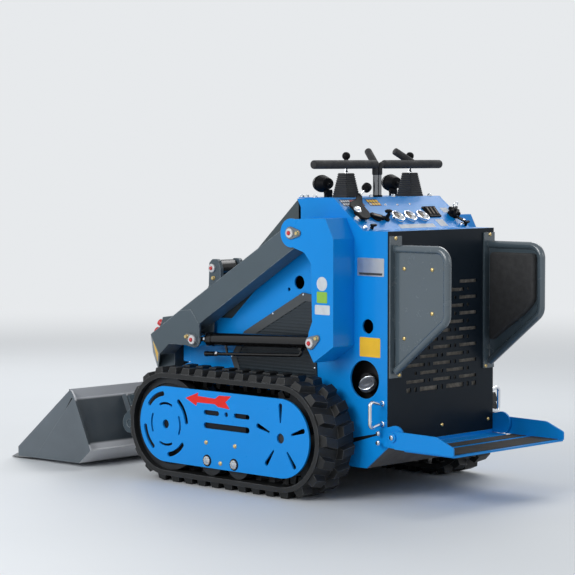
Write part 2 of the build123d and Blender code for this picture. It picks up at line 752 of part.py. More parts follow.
# ---------------------------------------------------------------- lift arms
# Two box-section arms, each with cheeks for its cylinder's rod and a drop leg to the hitch,
# joined by a cross member that carries the ears of the tilt cylinder.
leg_in = body_half_width - 61
leg_out = arm_in
cross_x0, cross_x1 = 448.0, 518.0
cross_z0, cross_z1 = 520.0, 605.0
ear_plate_out = 66.0
ear_plate_in = 50.0


def make_arm():
    beam_top_z = lift_pivot_z + 8
    beam = Polygon((lift_pivot_x + 64, beam_top_z), (lift_rod_x + 77, lift_rod_z + 107.3),
                   (lift_rod_x + 242, lift_rod_z + 6.3), (lift_rod_x + 193.3, lift_rod_z - 69.8),
                   (lift_rod_x + 138, lift_rod_z - 25), (lift_rod_x - 20.6, lift_rod_z + 56.1),
                   (lift_pivot_x, lift_pivot_z - 56), (lift_pivot_x - 20, lift_pivot_z - 30),
                   (lift_pivot_x, lift_pivot_z + 46), align=None)
    beam += Pos(lift_pivot_x, lift_pivot_z) * Circle(46)
    arm = extrude_side(beam, arm_in, arm_out)
    cheek = Polygon((lift_rod_x + 17, lift_rod_z + 113), (lift_rod_x - 30, lift_rod_z + 59),
                    (lift_rod_x - 29, lift_rod_z), (lift_rod_x + 8, lift_rod_z - 29),
                    (lift_rod_x + 47, lift_rod_z - 24), (lift_rod_x + 138, lift_rod_z - 25),
                    (lift_rod_x + 120, lift_rod_z + 60), align=None)
    cheek += Pos(lift_rod_x, lift_rod_z) * Circle(30)
    for y0, y1 in ((arm_in, arm_in + 7), (arm_out - 7, arm_out)):
        arm += extrude_side(cheek, y0, y1)
    arm += round_y(lift_rod_x, lift_rod_z, 22, arm_out, arm_out + 5)
    arm -= round_y(lift_pivot_x, lift_pivot_z, pin_radius + pin_play, arm_in - 1, arm_out + 1)
    return arm


def make_leg():
    """Drop leg inside the arm, down to the hitch's pivot, with a chamfered front edge."""
    outline = Polygon((cross_x0, cross_z1), (cross_x1, cross_z1 - 10), (575, 455), (546, 391), (562, 352),
                      (hitch_x + 32, hitch_z + 26), (hitch_x - 26, hitch_z - 30), (452, 400), align=None)
    outline += Pos(hitch_x, hitch_z) * Circle(38)
    leg = extrude_side(outline, leg_in, leg_out)
    return leg - round_y(hitch_x, hitch_z, pin_radius + pin_play, leg_in - 1, leg_out + 1)


def make_cross():
    cross = block(cross_x0, cross_x1, -leg_in, leg_in, cross_z0, cross_z1)
    ear = plate([(cross_x0, cross_z1 - 5), (cross_x1, cross_z1 - 5), (tilt_base_x + 18, tilt_base_z),
                 (tilt_base_x + 18, tilt_base_z + 20), (tilt_base_x, tilt_base_z + 36),
                 (tilt_base_x - 32, tilt_base_z + 36), (tilt_base_x - 45, tilt_base_z)],
                ear_plate_in, ear_plate_out, {3: 10, 4: 14, 5: 14})
    cross += ear + mirrored(ear)
    cross += round_y(tilt_base_x, tilt_base_z, base_pin_radius, -ear_plate_out - 5, ear_plate_out + 5)
    return cross


arm = make_arm() + make_leg()
nodes["lift_arm_left"] = arm
nodes["lift_arm_right"] = mirrored(arm)
nodes["arm_cross_member"] = make_cross()

# ---------------------------------------------------------------- cylinders
def make_barrel(base, aim, length, radius, eye_radius, bore, half_width, y, rod_radius=0, stroke_in=0):
    """Cylinder barrel with its rear eye, bored for the rod as far as it can go in from rest."""
    tube = Pos(eye_radius - 4, 0, 0) * Rot(0, 90, 0) * Cylinder(
        radius, length - eye_radius + 4, align=(Align.CENTER, Align.CENTER, Align.MIN))
    gland = Pos(length - 28, 0, 0) * Rot(0, 90, 0) * Cylinder(
        radius + 2, 28, align=(Align.CENTER, Align.CENTER, Align.MIN))
    barrel = tube + gland + round_y(0, 0, eye_radius, -half_width, half_width)
    barrel -= round_y(0, 0, bore + pin_play, -half_width - 1, half_width + 1)
    if stroke_in:
        barrel -= Pos(length - stroke_in, 0, 0) * Rot(0, 90, 0) * Cylinder(
            rod_radius + pin_play, stroke_in + 1, align=(Align.CENTER, Align.CENTER, Align.MIN))
    angle = degrees(atan2(aim[1] - base[1], aim[0] - base[0]))
    return Pos(base[0], y, base[1]) * Rot(0, -angle, 0) * barrel


def make_rod(base, aim, start, radius, eye_radius, half_width, y):
    """Chrome rod and its front eye at the aim point."""
    reach = hypot(aim[0] - base[0], aim[1] - base[1])
    rod = Pos(start, 0, 0) * Rot(0, 90, 0) * Cylinder(
        radius, reach - start - eye_radius + 4, align=(Align.CENTER, Align.CENTER, Align.MIN))
    rod += round_y(reach, 0, eye_radius, -half_width, half_width)
    angle = degrees(atan2(aim[1] - base[1], aim[0] - base[0]))
    return Pos(base[0], y, base[1]) * Rot(0, -angle, 0) * rod


def reach_at(pivot, base, tip, turn):
    """Pin to pin length of a cylinder when its tip has turned about the pivot."""
    radius = hypot(tip[0] - pivot[0], tip[1] - pivot[1])
    angle = degrees(atan2(tip[1] - pivot[1], tip[0] - pivot[0])) + turn
    moved = polar(pivot[0], pivot[1], radius, angle)
    return hypot(moved[0] - base[0], moved[1] - base[1])


lift_pivot = (lift_pivot_x, lift_pivot_z)
lift_base = (lift_base_x, lift_base_z)
lift_tip = (lift_rod_x, lift_rod_z)
tilt_base = (tilt_base_x, tilt_base_z)
hitch_pivot = (hitch_x, hitch_z)
tilt_tip = polar(hitch_x, hitch_z, tilt_lever, tilt_lever_angle)
lift_closed = reach_at(lift_pivot, lift_base, lift_tip, 0)
tilt_closed = reach_at(hitch_pivot, tilt_base, tilt_tip, curl_angle)

lift_barrel_length = lift_closed - 42
tilt_barrel_length = tilt_closed - 60
lift_tube_radius, lift_rod_radius = 24.0, 14.0
tilt_tube_radius, tilt_rod_radius = 29.0, 16.0
barrel = make_barrel(lift_base, lift_tip, lift_barrel_length, lift_tube_radius, 25,
                     base_pin_radius, 26, arm_y)
rod = make_rod(lift_base, lift_tip, lift_barrel_length, lift_rod_radius, 25, 26, arm_y)
nodes["lift_barrel_left"] = barrel
nodes["lift_barrel_right"] = mirrored(barrel)
nodes["lift_rod_left"] = rod
nodes["lift_rod_right"] = mirrored(rod)
rod_inside = 20.0            # of the tilt rod, in its barrel at rest
tilt_stroke_in = 60.0        # from rest to full curl
nodes["tilt_barrel"] = make_barrel(tilt_base, tilt_tip, tilt_barrel_length, tilt_tube_radius, 32,
                                   base_pin_radius, 43, 0, tilt_rod_radius,
                                   rod_inside + tilt_stroke_in + running_gap)
nodes["tilt_rod"] = make_rod(tilt_base, tilt_tip, tilt_barrel_length - rod_inside, tilt_rod_radius, 24, 24, 0)

# ---------------------------------------------------------------- bucket and hitch
# The bucket is drawn in its own frame: origin at the heel, +x along the sole, then pitched.
bucket_place = Pos(bucket_heel_x, 0, bucket_heel_z) * Rot(0, bucket_pitch, 0)
bucket_top = (46.0, 288.0)
bucket_shoulder = (24.0, 260.0)
bucket_back = (-70.0, 54.0)
bucket_lip_x = 424.0
side_front_x = 379.0
side_front_z = 38.0
wall_recess = 24.0
edge_thickness = 16.0
back_slope = degrees(atan2(bucket_shoulder[1] - bucket_back[1], bucket_shoulder[0] - bucket_back[0]))
hitch_gap = 10.0             # beside the legs of the lift arms
hitch_half_width = leg_in - hitch_gap


def off_back(along, behind):
    """Point in the bucket's frame, along its back from the lower rear corner and behind it."""
    start = polar(bucket_back[0], bucket_back[1], along, back_slope)
    return polar(start[0], start[1], behind, back_slope + 90)


def make_bucket():
    side = [bucket_top, bucket_shoulder, bucket_back, (0, 0), (side_front_x, 0),
            (side_front_x, side_front_z)]
    cheek = plate(side, bucket_half_width - 8, bucket_half_width, {0: 12})
    doubler = plate([bucket_shoulder, bucket_back, (0, 0), (side_front_x - 105, 0)],
                    bucket_half_width - 8, bucket_half_width + 2)
    wall = bent_sheet([(side_front_x, 0), (0, 0), bucket_back, off_back(12, -wall_recess),
                       off_back(228, -wall_recess), (bucket_top[0] + 6, bucket_top[1])][::-1], 8,
                      -bucket_half_width + 4, bucket_half_width - 4)
    lip = bent_sheet([off_back(244, -2), off_back(206, 12)], 8, -bucket_half_width + 4, bucket_half_width - 4)
    bucket = wall + cheek + mirrored(cheek) + doubler + mirrored(doubler)
    for y in (170.0, 215.0):
        rib = plate([off_back(20, 0), off_back(215, 0), off_back(222, -wall_recess - 2),
                     off_back(14, -wall_recess - 2)], y, y + 10)
        bucket += rib + mirrored(rib)
    return bucket_place * bucket


def make_edge():
    edge = plate([(side_front_x - 95, 0), (bucket_lip_x - 12, -6), (bucket_lip_x, -5),
                  (side_front_x + 4, 12), (side_front_x + 0.5, 12), (side_front_x + 0.5, 0)],
                 -bucket_half_width, bucket_half_width)
    return bucket_place * edge


def world(point):
    """Bucket frame to machine frame."""
    turned = radians(bucket_pitch)
    return (bucket_heel_x + point[0] * cos(turned) + point[1] * sin(turned),
            bucket_heel_z - point[0] * sin(turned) + point[1] * cos(turned))


def make_hitch():
    """Quick-attach plate with the pivot ears and the ears of the tilt cylinder."""
    gap = 1.0
    face = [world(off_back(18, gap)), world(off_back(205, gap)), world(off_back(205, gap + 12)),
            world(off_back(18, gap + 12))]
    hitch = plate(face, -hitch_half_width, hitch_half_width)
    low, high = world(off_back(20, gap + 6)), world(off_back(200, gap + 6))
    for side in (-1, 1):
        y = sorted((side * hitch_half_width, side * (hitch_half_width - 14)))
        ear = extrude_side(Polygon(low, polar(hitch_x, hitch_z, 34, 250), polar(hitch_x, hitch_z, 34, 160),
                                   world(off_back(150, gap + 6)), align=None), y[0], y[1])
        ear += round_y(hitch_x, hitch_z, 34, y[0], y[1])
        hitch += ear
        pin = sorted((side * (hitch_half_width - 20), side * (leg_out - 2)))
        hitch += round_y(hitch_x, hitch_z, pin_radius, pin[0], pin[1])
        y = sorted((side * 32, side * 46))
        ear = extrude_side(Polygon(world(off_back(90, gap + 6)), polar(*tilt_tip, 28, 200),
                                   polar(*tilt_tip, 28, 60), high, align=None), y[0], y[1])
        ear += round_y(*tilt_tip, 28, y[0], y[1])
        hitch += ear + round_y(*tilt_tip, 18, side * 32, side * 52)
    return hitch


nodes["bucket"] = make_bucket()
nodes["cutting_edge"] = make_edge()
nodes["hitch_plate"] = make_hitch()

# ---------------------------------------------------------------- export
# The origin goes under the middle of the overall length.
tip_x = world((bucket_lip_x, -5))[0]
origin_x = (platform_rear_x + tip_x) / 2


def export_nodes():
    os.makedirs("parts", exist_ok=True)
    for name, shape in nodes.items():
        export_step(Pos(-origin_x, 0, 0) * shape, "parts/" + name + ".step")


export_nodes()
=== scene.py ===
import json
from math import atan2, cos, pi, radians, sin

import bmesh
import bpy
from mathutils import Matrix, Vector, noise


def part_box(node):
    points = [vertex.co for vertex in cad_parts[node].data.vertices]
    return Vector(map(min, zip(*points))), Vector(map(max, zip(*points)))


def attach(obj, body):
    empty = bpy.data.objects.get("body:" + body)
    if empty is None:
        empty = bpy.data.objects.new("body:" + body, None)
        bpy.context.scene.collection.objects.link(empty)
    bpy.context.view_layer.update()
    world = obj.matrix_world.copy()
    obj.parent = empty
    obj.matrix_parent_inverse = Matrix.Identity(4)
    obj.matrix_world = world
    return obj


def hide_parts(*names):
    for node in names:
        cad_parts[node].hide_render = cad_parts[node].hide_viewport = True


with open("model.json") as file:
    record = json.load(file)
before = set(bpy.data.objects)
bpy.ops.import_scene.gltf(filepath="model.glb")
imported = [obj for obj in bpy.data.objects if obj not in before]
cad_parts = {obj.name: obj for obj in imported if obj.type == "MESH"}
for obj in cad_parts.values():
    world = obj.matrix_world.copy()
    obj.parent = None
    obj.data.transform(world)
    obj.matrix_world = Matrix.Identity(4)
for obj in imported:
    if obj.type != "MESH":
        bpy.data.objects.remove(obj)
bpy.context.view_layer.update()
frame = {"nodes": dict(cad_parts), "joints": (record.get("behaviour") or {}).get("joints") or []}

nodes = frame["nodes"]

# ---------------------------------------------------------------- studio
# The loader stands on a wide pale floor that runs out of sight into a background of the same
# tone, under a large softbox on its left, one overhead and weak fill from behind.
track_low, track_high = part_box("track_left")
wheelbase_middle = (track_low.x + track_high.x) / 2
MM = 0.001
background = (0.80, 0.82, 0.84, 1.0)
floor_colour, floor_light = (0.74, 0.76, 0.78, 1.0), (0.77, 0.79, 0.81, 1.0)
fade_start, fade_end = 2.2, 9.0     # metres from the middle at which the floor turns into background


def at(x, y, z):
    """Place in metres from millimetres ahead of the wheelbase's middle, to the left, and up."""
    return Vector((wheelbase_middle + x * MM, y * MM, z * MM))


def feed(tree, socket, value):
    """Link a socket to another one, or give it a value."""
    if isinstance(value, bpy.types.NodeSocket):
        tree.links.new(value, socket)
    else:
        socket.default_value = value


def add_node(tree, kind, settings=None, **inputs):
    """Shader node with its settings, and its inputs linked or set by name."""
    made = tree.nodes.new("ShaderNode" + kind)
    for key, value in (settings or {}).items():
        setattr(made, key, value)
    for key, value in inputs.items():
        feed(tree, made.inputs[key.replace("_", " ")], value)
    return made


def mix_colour(tree, factor, first, second):
    """Colour blended from the first to the second by the factor."""
    made = add_node(tree, "Mix", {"data_type": "RGBA"})
    for number, value in ((0, factor), (6, first), (7, second)):
        feed(tree, made.inputs[number], value)
    return made.outputs[2]


def maths(tree, operation, *values):
    """Result of an operation on sockets or numbers."""
    made = add_node(tree, "Math", {"operation": operation})
    for number, value in enumerate(values):
        feed(tree, made.inputs[number], value)
    return made.outputs[0]


def ranged(tree, value, low, high, first=0.0, last=1.0, curve="LINEAR"):
    """Value that goes from the first to the last as its input goes from low to high."""
    return add_node(tree, "MapRange", {"interpolation_type": curve}, Value=value, From_Min=low, From_Max=high,
                    To_Min=first, To_Max=last).outputs[0]


def cover_shader(tree, output, factor, under, over):
    """Shader laid over another by the factor."""
    blend = tree.nodes.new("ShaderNodeMixShader")
    for number, value in enumerate((factor, under.outputs[0], over.outputs[0])):
        tree.links.new(value, blend.inputs[number])
    tree.links.new(blend.outputs[0], tree.nodes[output].inputs["Surface"])


def seen_rays(tree):
    """1 for rays that see the pale background: the camera's, mirrored ones and those through glass."""
    path = tree.nodes.new("ShaderNodeLightPath").outputs
    clear = maths(tree, "MAXIMUM", path["Is Camera Ray"], path["Is Transmission Ray"])
    return maths(tree, "MAXIMUM", clear, path["Is Glossy Ray"])


def place_camera():
    camera = bpy.data.objects.new("camera", bpy.data.cameras.new("camera"))
    bpy.context.scene.collection.objects.link(camera)
    camera.location = at(-5575.4, 5889.9, 1218.0)
    turn, dip = -0.8, -0.0616
    aim = Vector((cos(dip) * cos(turn), cos(dip) * sin(turn), sin(dip)))
    camera.rotation_euler = aim.to_track_quat("-Z", "Y").to_euler()
    camera.data.sensor_width = 36.0
    camera.data.lens = 133.92
    camera.data.clip_end = 200.0
    bpy.context.scene.camera = camera


def lay_floor():
    mesh = bpy.data.meshes.new("floor")
    reach = 60.0
    corners = [(x * reach, y * reach, 0) for x, y in ((-1, -1), (1, -1), (1, 1), (-1, 1))]
    mesh.from_pydata(corners, [], [(0, 1, 2, 3)])
    floor = bpy.data.objects.new("floor", mesh)
    bpy.context.scene.collection.objects.link(floor)
    floor.location.z = -0.001
    material = bpy.data.materials.new("pale_floor")
    material.use_nodes = True
    tree = material.node_tree
    paint = tree.nodes["Principled BSDF"]
    place = tree.nodes.new("ShaderNodeTexCoord").outputs["Object"]
    cloud = add_node(tree, "TexNoise", Vector=place, Scale=1.4, Detail=4.0).outputs[0]
    tree.links.new(mix_colour(tree, cloud, floor_colour, floor_light), paint.inputs["Base Color"])
    paint.inputs["Roughness"].default_value = 0.62
    far = add_node(tree, "VectorMath", {"operation": "LENGTH"}, Vector=place)
    fade = ranged(tree, far.outputs["Value"], fade_start, fade_end, curve="SMOOTHSTEP")
    glow = add_node(tree, "Emission", Color=background, Strength=1.0)
    cover_shader(tree, "Material Output", maths(tree, "MULTIPLY", seen_rays(tree), fade), paint, glow)
    mesh.materials.append(material)


def light_world():
    world = bpy.data.worlds.new("studio")
    world.use_nodes = True
    tree = world.node_tree
    soft = tree.nodes["Background"]
    soft.inputs["Color"].default_value = (0.80, 0.86, 0.92, 1.0)
    soft.inputs["Strength"].default_value = 0.38
    shown = add_node(tree, "Background", Color=background, Strength=1.0)
    cover_shader(tree, "World Output", seen_rays(tree), soft, shown)
    bpy.context.scene.world = world


def hang_softbox(name, place, aim, width, height, power):
    lamp = bpy.data.lights.new(name, "AREA")
    lamp.shape = "RECTANGLE"
    lamp.size, lamp.size_y, lamp.energy = width, height, power
    box = bpy.data.objects.new(name, lamp)
    bpy.context.scene.collection.objects.link(box)
    box.location = place
    box.rotation_euler = (Vector(aim) - Vector(place)).to_track_quat("-Z", "Y").to_euler()


bpy.context.scene.view_settings.view_transform = "Standard"
place_camera()
lay_floor()
light_world()
hang_softbox("left_softbox", (-0.2, 5.2, 3.0), (0.0, 0.0, 0.5), 3.4, 2.6, 165)
hang_softbox("right_softbox", (0.2, -3.0, 3.9), (-0.2, 0.0, 0.6), 3.0, 2.4, 78)
hang_softbox("rear_softbox", (-4.8, -0.6, 2.4), (0.0, 0.0, 0.6), 2.0, 1.6, 22)
hang_softbox("front_softbox", (4.6, -1.8, 2.8), (0.0, 0.0, 0.5), 2.6, 2.4, 60)

# ---------------------------------------------------------------- rubber tracks
# Moulded black rubber belts with staggered lugs outside and guide blocks inside. The rubber is
# fine-grained and matt, and its lug edges are painted paler, partly as wear and partly as a painted
# highlight.


def surface(name, colour, roughness, metal=0.0, coat=0.0, coat_roughness=0.08, specular=0.5, patch=0.10,
            patch_size=0.35, spread=0.08, grain=0.004, grain_depth=0.00008, edge=0.0, edge_colour=None,
            edge_part=0.6, dust=None, dust_part=0.0):
    """Finish with cloudy colour, uneven gloss, a fine grain, and edges paled partly as wear and partly as a
    painted highlight.
    """
    material = bpy.data.materials.new(name)
    material.use_nodes = True
    tree = material.node_tree
    shader = tree.nodes["Principled BSDF"].inputs
    place = tree.nodes.new("ShaderNodeTexCoord").outputs["Object"]

    def speckle(scale, detail, rough):
        made = add_node(tree, "TexNoise", Vector=place, Scale=scale, Detail=detail, Roughness=rough)
        return made.outputs[0]

    cloud, scuff = speckle(1 / patch_size, 5.0, 0.55), speckle(28.0, 7.0, 0.68)
    fine = speckle(1 / grain, 3.0, 0.6)
    low, high = ((*(min(1.0, channel * share) for channel in colour), 1.0)
                 for share in (1 - patch, 1 + patch))
    shade = mix_colour(tree, ranged(tree, cloud, 0.35, 0.65), low, high)
    relief = add_node(tree, "Bump", Height=fine, Strength=0.6, Distance=grain_depth)
    if edge:
        eased = add_node(tree, "Bevel", {"samples": 6}, Radius=edge).outputs[0]
        tree.links.new(eased, relief.inputs["Normal"])
        turn = add_node(tree, "VectorMath", {"operation": "DOT_PRODUCT"})
        tree.links.new(eased, turn.inputs[0])
        tree.links.new(tree.nodes.new("ShaderNodeNewGeometry").outputs["Normal"], turn.inputs[1])
        # pale band along the edges: partly scuffed wear, partly a painted highlight
        worn_and_highlit_edge = ranged(tree, turn.outputs["Value"], 0.992, 0.90, 0.0, edge_part)
        amount = maths(tree, "MULTIPLY", worn_and_highlit_edge, ranged(tree, scuff, 0.38, 0.58))
        pale = edge_colour or [min(1.0, channel * 1.8 + 0.02) for channel in colour]
        shade = mix_colour(tree, amount, shade, (*pale, 1.0))
    if dust:
        height = add_node(tree, "SeparateXYZ", Vector=place).outputs["Z"]
        settled = ranged(tree, height, 0.42, 0.0, 0.0, dust_part)
        shade = mix_colour(tree, maths(tree, "MULTIPLY", settled, scuff), shade, (*dust, 1.0))
    gloss = ranged(tree, scuff, 0.3, 0.7, max(0.02, roughness - spread / 2), roughness + spread)
    tree.links.new(shade, shader["Base Color"])
    tree.links.new(gloss, shader["Roughness"])
    tree.links.new(relief.outputs[0], shader["Normal"])
    shader["Metallic"].default_value = metal
    shader["Specular IOR Level"].default_value = specular
    shader["Coat Weight"].default_value = coat
    shader["Coat Roughness"].default_value = coat_roughness
    return material


def dress(material, *names):
    """Give CAD nodes a finish in place of their plain one."""
    for name in names:
        mesh = nodes[name].data
        mesh.materials.clear()
        mesh.materials.append(material)


def pair(*names):
    """Left and right node of each name."""
    return [name + side for name in names for side in ("_left", "_right")]


track_rubber = surface(
    "track_rubber", (0.0060, 0.0068, 0.0075), 0.46, specular=0.4, patch=0.25, patch_size=0.12, spread=0.16,
    grain=0.0022, grain_depth=0.00025, edge=0.0035, edge_colour=(0.13, 0.135, 0.14), edge_part=0.9,
    dust=(0.06, 0.056, 0.05), dust_part=0.14)
dress(track_rubber, *pair("track"))

# ---------------------------------------------------------------- sprockets, idlers, rollers and frames
# Cast steel wheels with machined rims on welded track frames, all sprayed dark grey. The welded
# tub between the tracks is sprayed a warm grey, its edges painted paler as wear and as a painted highlight.
cast_steel = surface(
    "cast_steel", (0.035, 0.038, 0.042), 0.5, metal=0.55, patch=0.2, patch_size=0.08, spread=0.2,
    grain=0.0035, grain_depth=0.0003, edge=0.002, edge_colour=(0.22, 0.22, 0.22))
frame_paint = surface(
    "frame_paint", (0.008, 0.009, 0.011), 0.48, specular=0.15, patch=0.15, grain_depth=0.00012, edge=0.002)
dress(cast_steel, *pair("sprocket", "idler", "track_rollers"))
dress(frame_paint, *pair("track_frame"))
tub_paint = surface(
    "tub_paint", (0.105, 0.098, 0.092), 0.62, specular=0.25, patch=0.2, patch_size=0.25, spread=0.2,
    grain_depth=0.00015, edge=0.003, edge_colour=(0.22, 0.21, 0.20), edge_part=0.5)
dress(tub_paint, "chassis_frame")

# ---------------------------------------------------------------- track covers
# Eight-millimetre plates sprayed glossy blue, with a red travel arrow and plated bolts: two
# large hexagon heads on the frame's beam and three small ones.
blue = (0.0035, 0.27, 0.76)
# its paler blue edges are partly a painted highlight, partly wear
blue_paint = surface(
    "blue_paint", blue, 0.30, specular=0.18, coat=0.12, coat_roughness=0.12, patch=0.05, patch_size=0.9,
    spread=0.07, grain=0.0028, grain_depth=0.00006, edge=0.0022, edge_colour=(0.05, 0.40, 0.85),
    edge_part=0.5)
dress(blue_paint, *pair("track_cover"))
bench = bmesh.new()     # the mesh that the next piece is made of


def looking(place, normal, up=(0, 0, 1)):
    """Placement with its z axis along a normal and its y axis as near up as it can be."""
    out = Vector(normal).normalized()
    across = Vector(up).cross(out)
    if across.length < 1e-6:
        across = Vector((0, 1, 0)).cross(out)
    across.normalize()
    over = out.cross(across)
    turn = Matrix((across, over, out)).transposed().to_4x4()
    return Matrix.Translation(place) @ turn


def on_side(x, y, z, sign):
    """Placement on a side of the machine, facing away from it."""
    return looking(at(x, sign * y, z), (0, sign, 0))


def moved(x, y, z):
    """Move in millimetres."""
    return Matrix.Translation((x * MM, y * MM, z * MM))


def spin(angle, axis="Z"):
    """Turn about a placement's own axis."""
    return Matrix.Rotation(angle, 4, axis)


def put(points, faces, place, finish=0):
    """Add faces in millimetres at a placement."""
    corners = [bench.verts.new(place @ (Vector(point) * MM)) for point in points]
    for face in faces:
        made = bench.faces.new([corners[number] for number in face])
        made.material_index = finish


def turned(place, profile, sides=24, finish=0, start=0.0):
    """Turned piece: (radius, height) pairs spun about the placement's z axis."""
    points, rings = [], []
    for radius, height in profile:
        if radius == 0:
            rings.append([len(points)])
            points.append((0, 0, height))
        else:
            rings.append(range(len(points), len(points) + sides))
            for i in range(sides):
                angle = start + 2 * pi * i / sides
                points.append((radius * cos(angle), radius * sin(angle), height))
    faces = []
    for low, high in zip(rings, rings[1:]):
        for i in range(sides):
            j = (i + 1) % sides
            a, b = (low[0], low[0]) if len(low) == 1 else (low[i], low[j])
            d, c = (high[0], high[0]) if len(high) == 1 else (high[i], high[j])
            face = [a]
            for corner in (b, c, d):
                if corner not in face:
                    face.append(corner)
            if len(face) > 2:
                faces.append(face)
    put(points, faces, place, finish)


def slab(place, outline, low, high, finish=0, ease=0.0):
    """Flat piece cut to an outline, from one height to another, with its upper edge eased."""
    centre = Vector((sum(p[0] for p in outline), sum(p[1] for p in outline))) / len(outline)
    count = len(outline)
    points = [(u, v, low) for u, v in outline] + [(u, v, high - ease) for u, v in outline]
    faces = [list(range(count))[::-1]]
    faces += [[i, (i + 1) % count, count + (i + 1) % count, count + i] for i in range(count)]
    top = count
    if ease:
        for u, v in outline:
            inward = centre - Vector((u, v))
            inward = inward.normalized() * min(ease, inward.length / 2)
            points.append((u + inward.x, v + inward.y, high))
        top = 2 * count
        faces += [[count + i, count + (i + 1) % count, top + (i + 1) % count, top + i] for i in range(count)]
    faces.append(list(range(top, top + count)))
    put(points, faces, place, finish)


def rounded(width, height, radius, steps=5):
    """Rectangle about the origin with rounded corners."""
    corners = []
    for number, (x, y) in enumerate(((1, 1), (-1, 1), (-1, -1), (1, -1))):
        for step in range(steps + 1):
            angle = pi / 2 * (number + step / steps)
            corners.append((x * (width / 2 - radius) + radius * cos(angle),
                            y * (height / 2 - radius) + radius * sin(angle)))
    return corners


def side_slab(outline, y, sign, low, high, finish=0, ease=0.0):
    """Flat plate on one side of the machine, its outline given ahead and up."""
    slab(on_side(0, y, 0, sign), [(-sign * x, z) for x, z in outline], low, high, finish, ease)


def hex_bolt(place, across, height, finish=0, washer=None):
    """Hexagon head with a chamfered top, standing on a washer."""
    radius = across / 2 / cos(pi / 6)
    base = 0.0
    washer = across * 0.62 if washer is None else washer
    if washer:
        base = height * 0.22
        turned(place, [(0, 0), (washer, 0), (washer, base * 0.7), (washer * 0.93, base), (0, base)],
               24, finish)
    turned(place, [(radius, base), (radius, height * 0.86), (radius * 0.86, height), (0, height)],
           6, finish, pi / 6)


def button_screw(place, radius, height, finish=0):
    """Domed head with a socket in it."""
    turned(place, [(radius, 0), (radius * 0.95, height * 0.5), (radius * 0.72, height * 0.9),
                   (radius * 0.42, height), (radius * 0.38, height * 0.45), (0, height * 0.45)],
           18, finish)


def keep(name, body, *materials, slot=None, smooth=40):
    """Turn the mesh on the bench into a piece that rides on a body, and clear the bench."""
    bmesh.ops.recalc_face_normals(bench, faces=bench.faces)
    mesh = bpy.data.meshes.new(name)
    bench.to_mesh(mesh)
    bench.clear()
    piece = bpy.data.objects.new(name, mesh)
    bpy.context.scene.collection.objects.link(piece)
    for material in materials:
        mesh.materials.append(material)
    if smooth:
        mesh.shade_smooth()
        mesh.set_sharp_from_angle(angle=radians(smooth))
    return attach(piece, body)


def sides():
    """Name and sign of each side of the machine."""
    return (("left", 1), ("right", -1))


yellow_zinc = surface(
    "yellow_zinc", (0.72, 0.56, 0.26), 0.30, metal=1.0, patch=0.18, patch_size=0.01, grain=0.001,
    grain_depth=0.00003)
bright_zinc = surface(
    "bright_zinc", (0.62, 0.66, 0.70), 0.22, metal=1.0, patch=0.12, patch_size=0.01, grain=0.001,
    grain_depth=0.00003)
arrow_red = surface(
    "arrow_red", (0.78, 0.022, 0.016), 0.38, specular=0.2, coat=0.1, patch=0.06, patch_size=0.08,
    grain=0.001, grain_depth=0.00002)
arrow = [(190, 322), (122, 347), (125, 334), (33, 331), (13, 344), (-51, 346), (-21.5, 322), (-43, 298),
         (17, 302), (36, 311), (129, 310), (133, 297)]
large_bolts = ((75.9, 99.4), (-64.7, 97.8))
small_bolts = ((80.6, 166), (-70.4, 165.5), (5.6, 95.2))
cover_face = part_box("track_cover_left")[1].y / MM
for side, sign in sides():
    side_slab(arrow, cover_face, sign, -0.2, 0.6)
    keep("travel_arrow_" + side, "machine", arrow_red, slot="blue_paint", smooth=0)
    for x, z in large_bolts:
        place = on_side(x, cover_face, z, sign)
        turned(place, [(22, 0), (22, 0.8), (21, 1.2), (16.5, 1.2)], 36, 2)
        turned(place, [(17, 1.2), (17, 4.0), (15.4, 4.8), (10.2, 4.8), (9.4, 3.4), (8.2, 3.4)], 6, 0, 0.3)
        turned(place, [(8.2, 2.0), (8.2, 4.4), (6.8, 4.9), (3.2, 4.9), (2.6, 3.6), (0, 3.4)], 24)
        for number in range(6):
            notch = place @ spin(0.3 + pi / 6 + number * pi / 3)
            slab(notch @ moved(14.6, 0, 0), rounded(5.5, 3.4, 1.4, 3), 4.0, 4.95, 1, 0.3)
    for x, z in small_bolts:
        hex_bolt(on_side(x, cover_face, z, sign), 13, 4.4, 1)
    keep("cover_bolts_" + side, "machine", bright_zinc, yellow_zinc, frame_paint, slot="chrome")

# ---------------------------------------------------------------- body sides
# Blue side plates with a silver rating plate and a yellow label, both bare, screwed and stuck on
# the left. The moulded tank and its cap show through the round window.
dress(blue_paint, *pair("side_plate"), "hinge_ears")
tank_plastic = surface(
    "tank_plastic", (0.010, 0.010, 0.011), 0.45, patch=0.15, grain=0.003, grain_depth=0.0002)
dress(tank_plastic, "fuel_tank")
engine_paint = surface(
    "engine_paint", (0.018, 0.019, 0.02), 0.5, metal=0.3, patch=0.3, patch_size=0.05, spread=0.2,
    grain_depth=0.0003, edge=0.003)
dress(engine_paint, "engine_block")
plate_metal = surface(
    "plate_metal", (0.55, 0.56, 0.57), 0.34, metal=0.9, patch=0.06, patch_size=0.03, grain=0.0012,
    grain_depth=0.00002)
side_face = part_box("side_plate_left")[1].y / MM


def printed(name, colour, roughness=0.42, **finish):
    """Smooth film of a printed plate or sticker."""
    return surface(name, colour, roughness, grain=0.001, grain_depth=0.00001, **finish)


label_yellow = printed(
    "label_yellow", (0.88, 0.52, 0.035), specular=0.2, coat=0.05, patch=0.05, patch_size=0.05)
label_dark = printed("label_dark", (0.03, 0.03, 0.03), 0.45)


def label(x, y, z, width, height, finish=0, lift=0.6, radius=4.0):
    """Thin plate with rounded corners on the machine's left."""
    slab(on_side(x, y, z, 1), rounded(width, height, radius), -0.2, lift, finish)


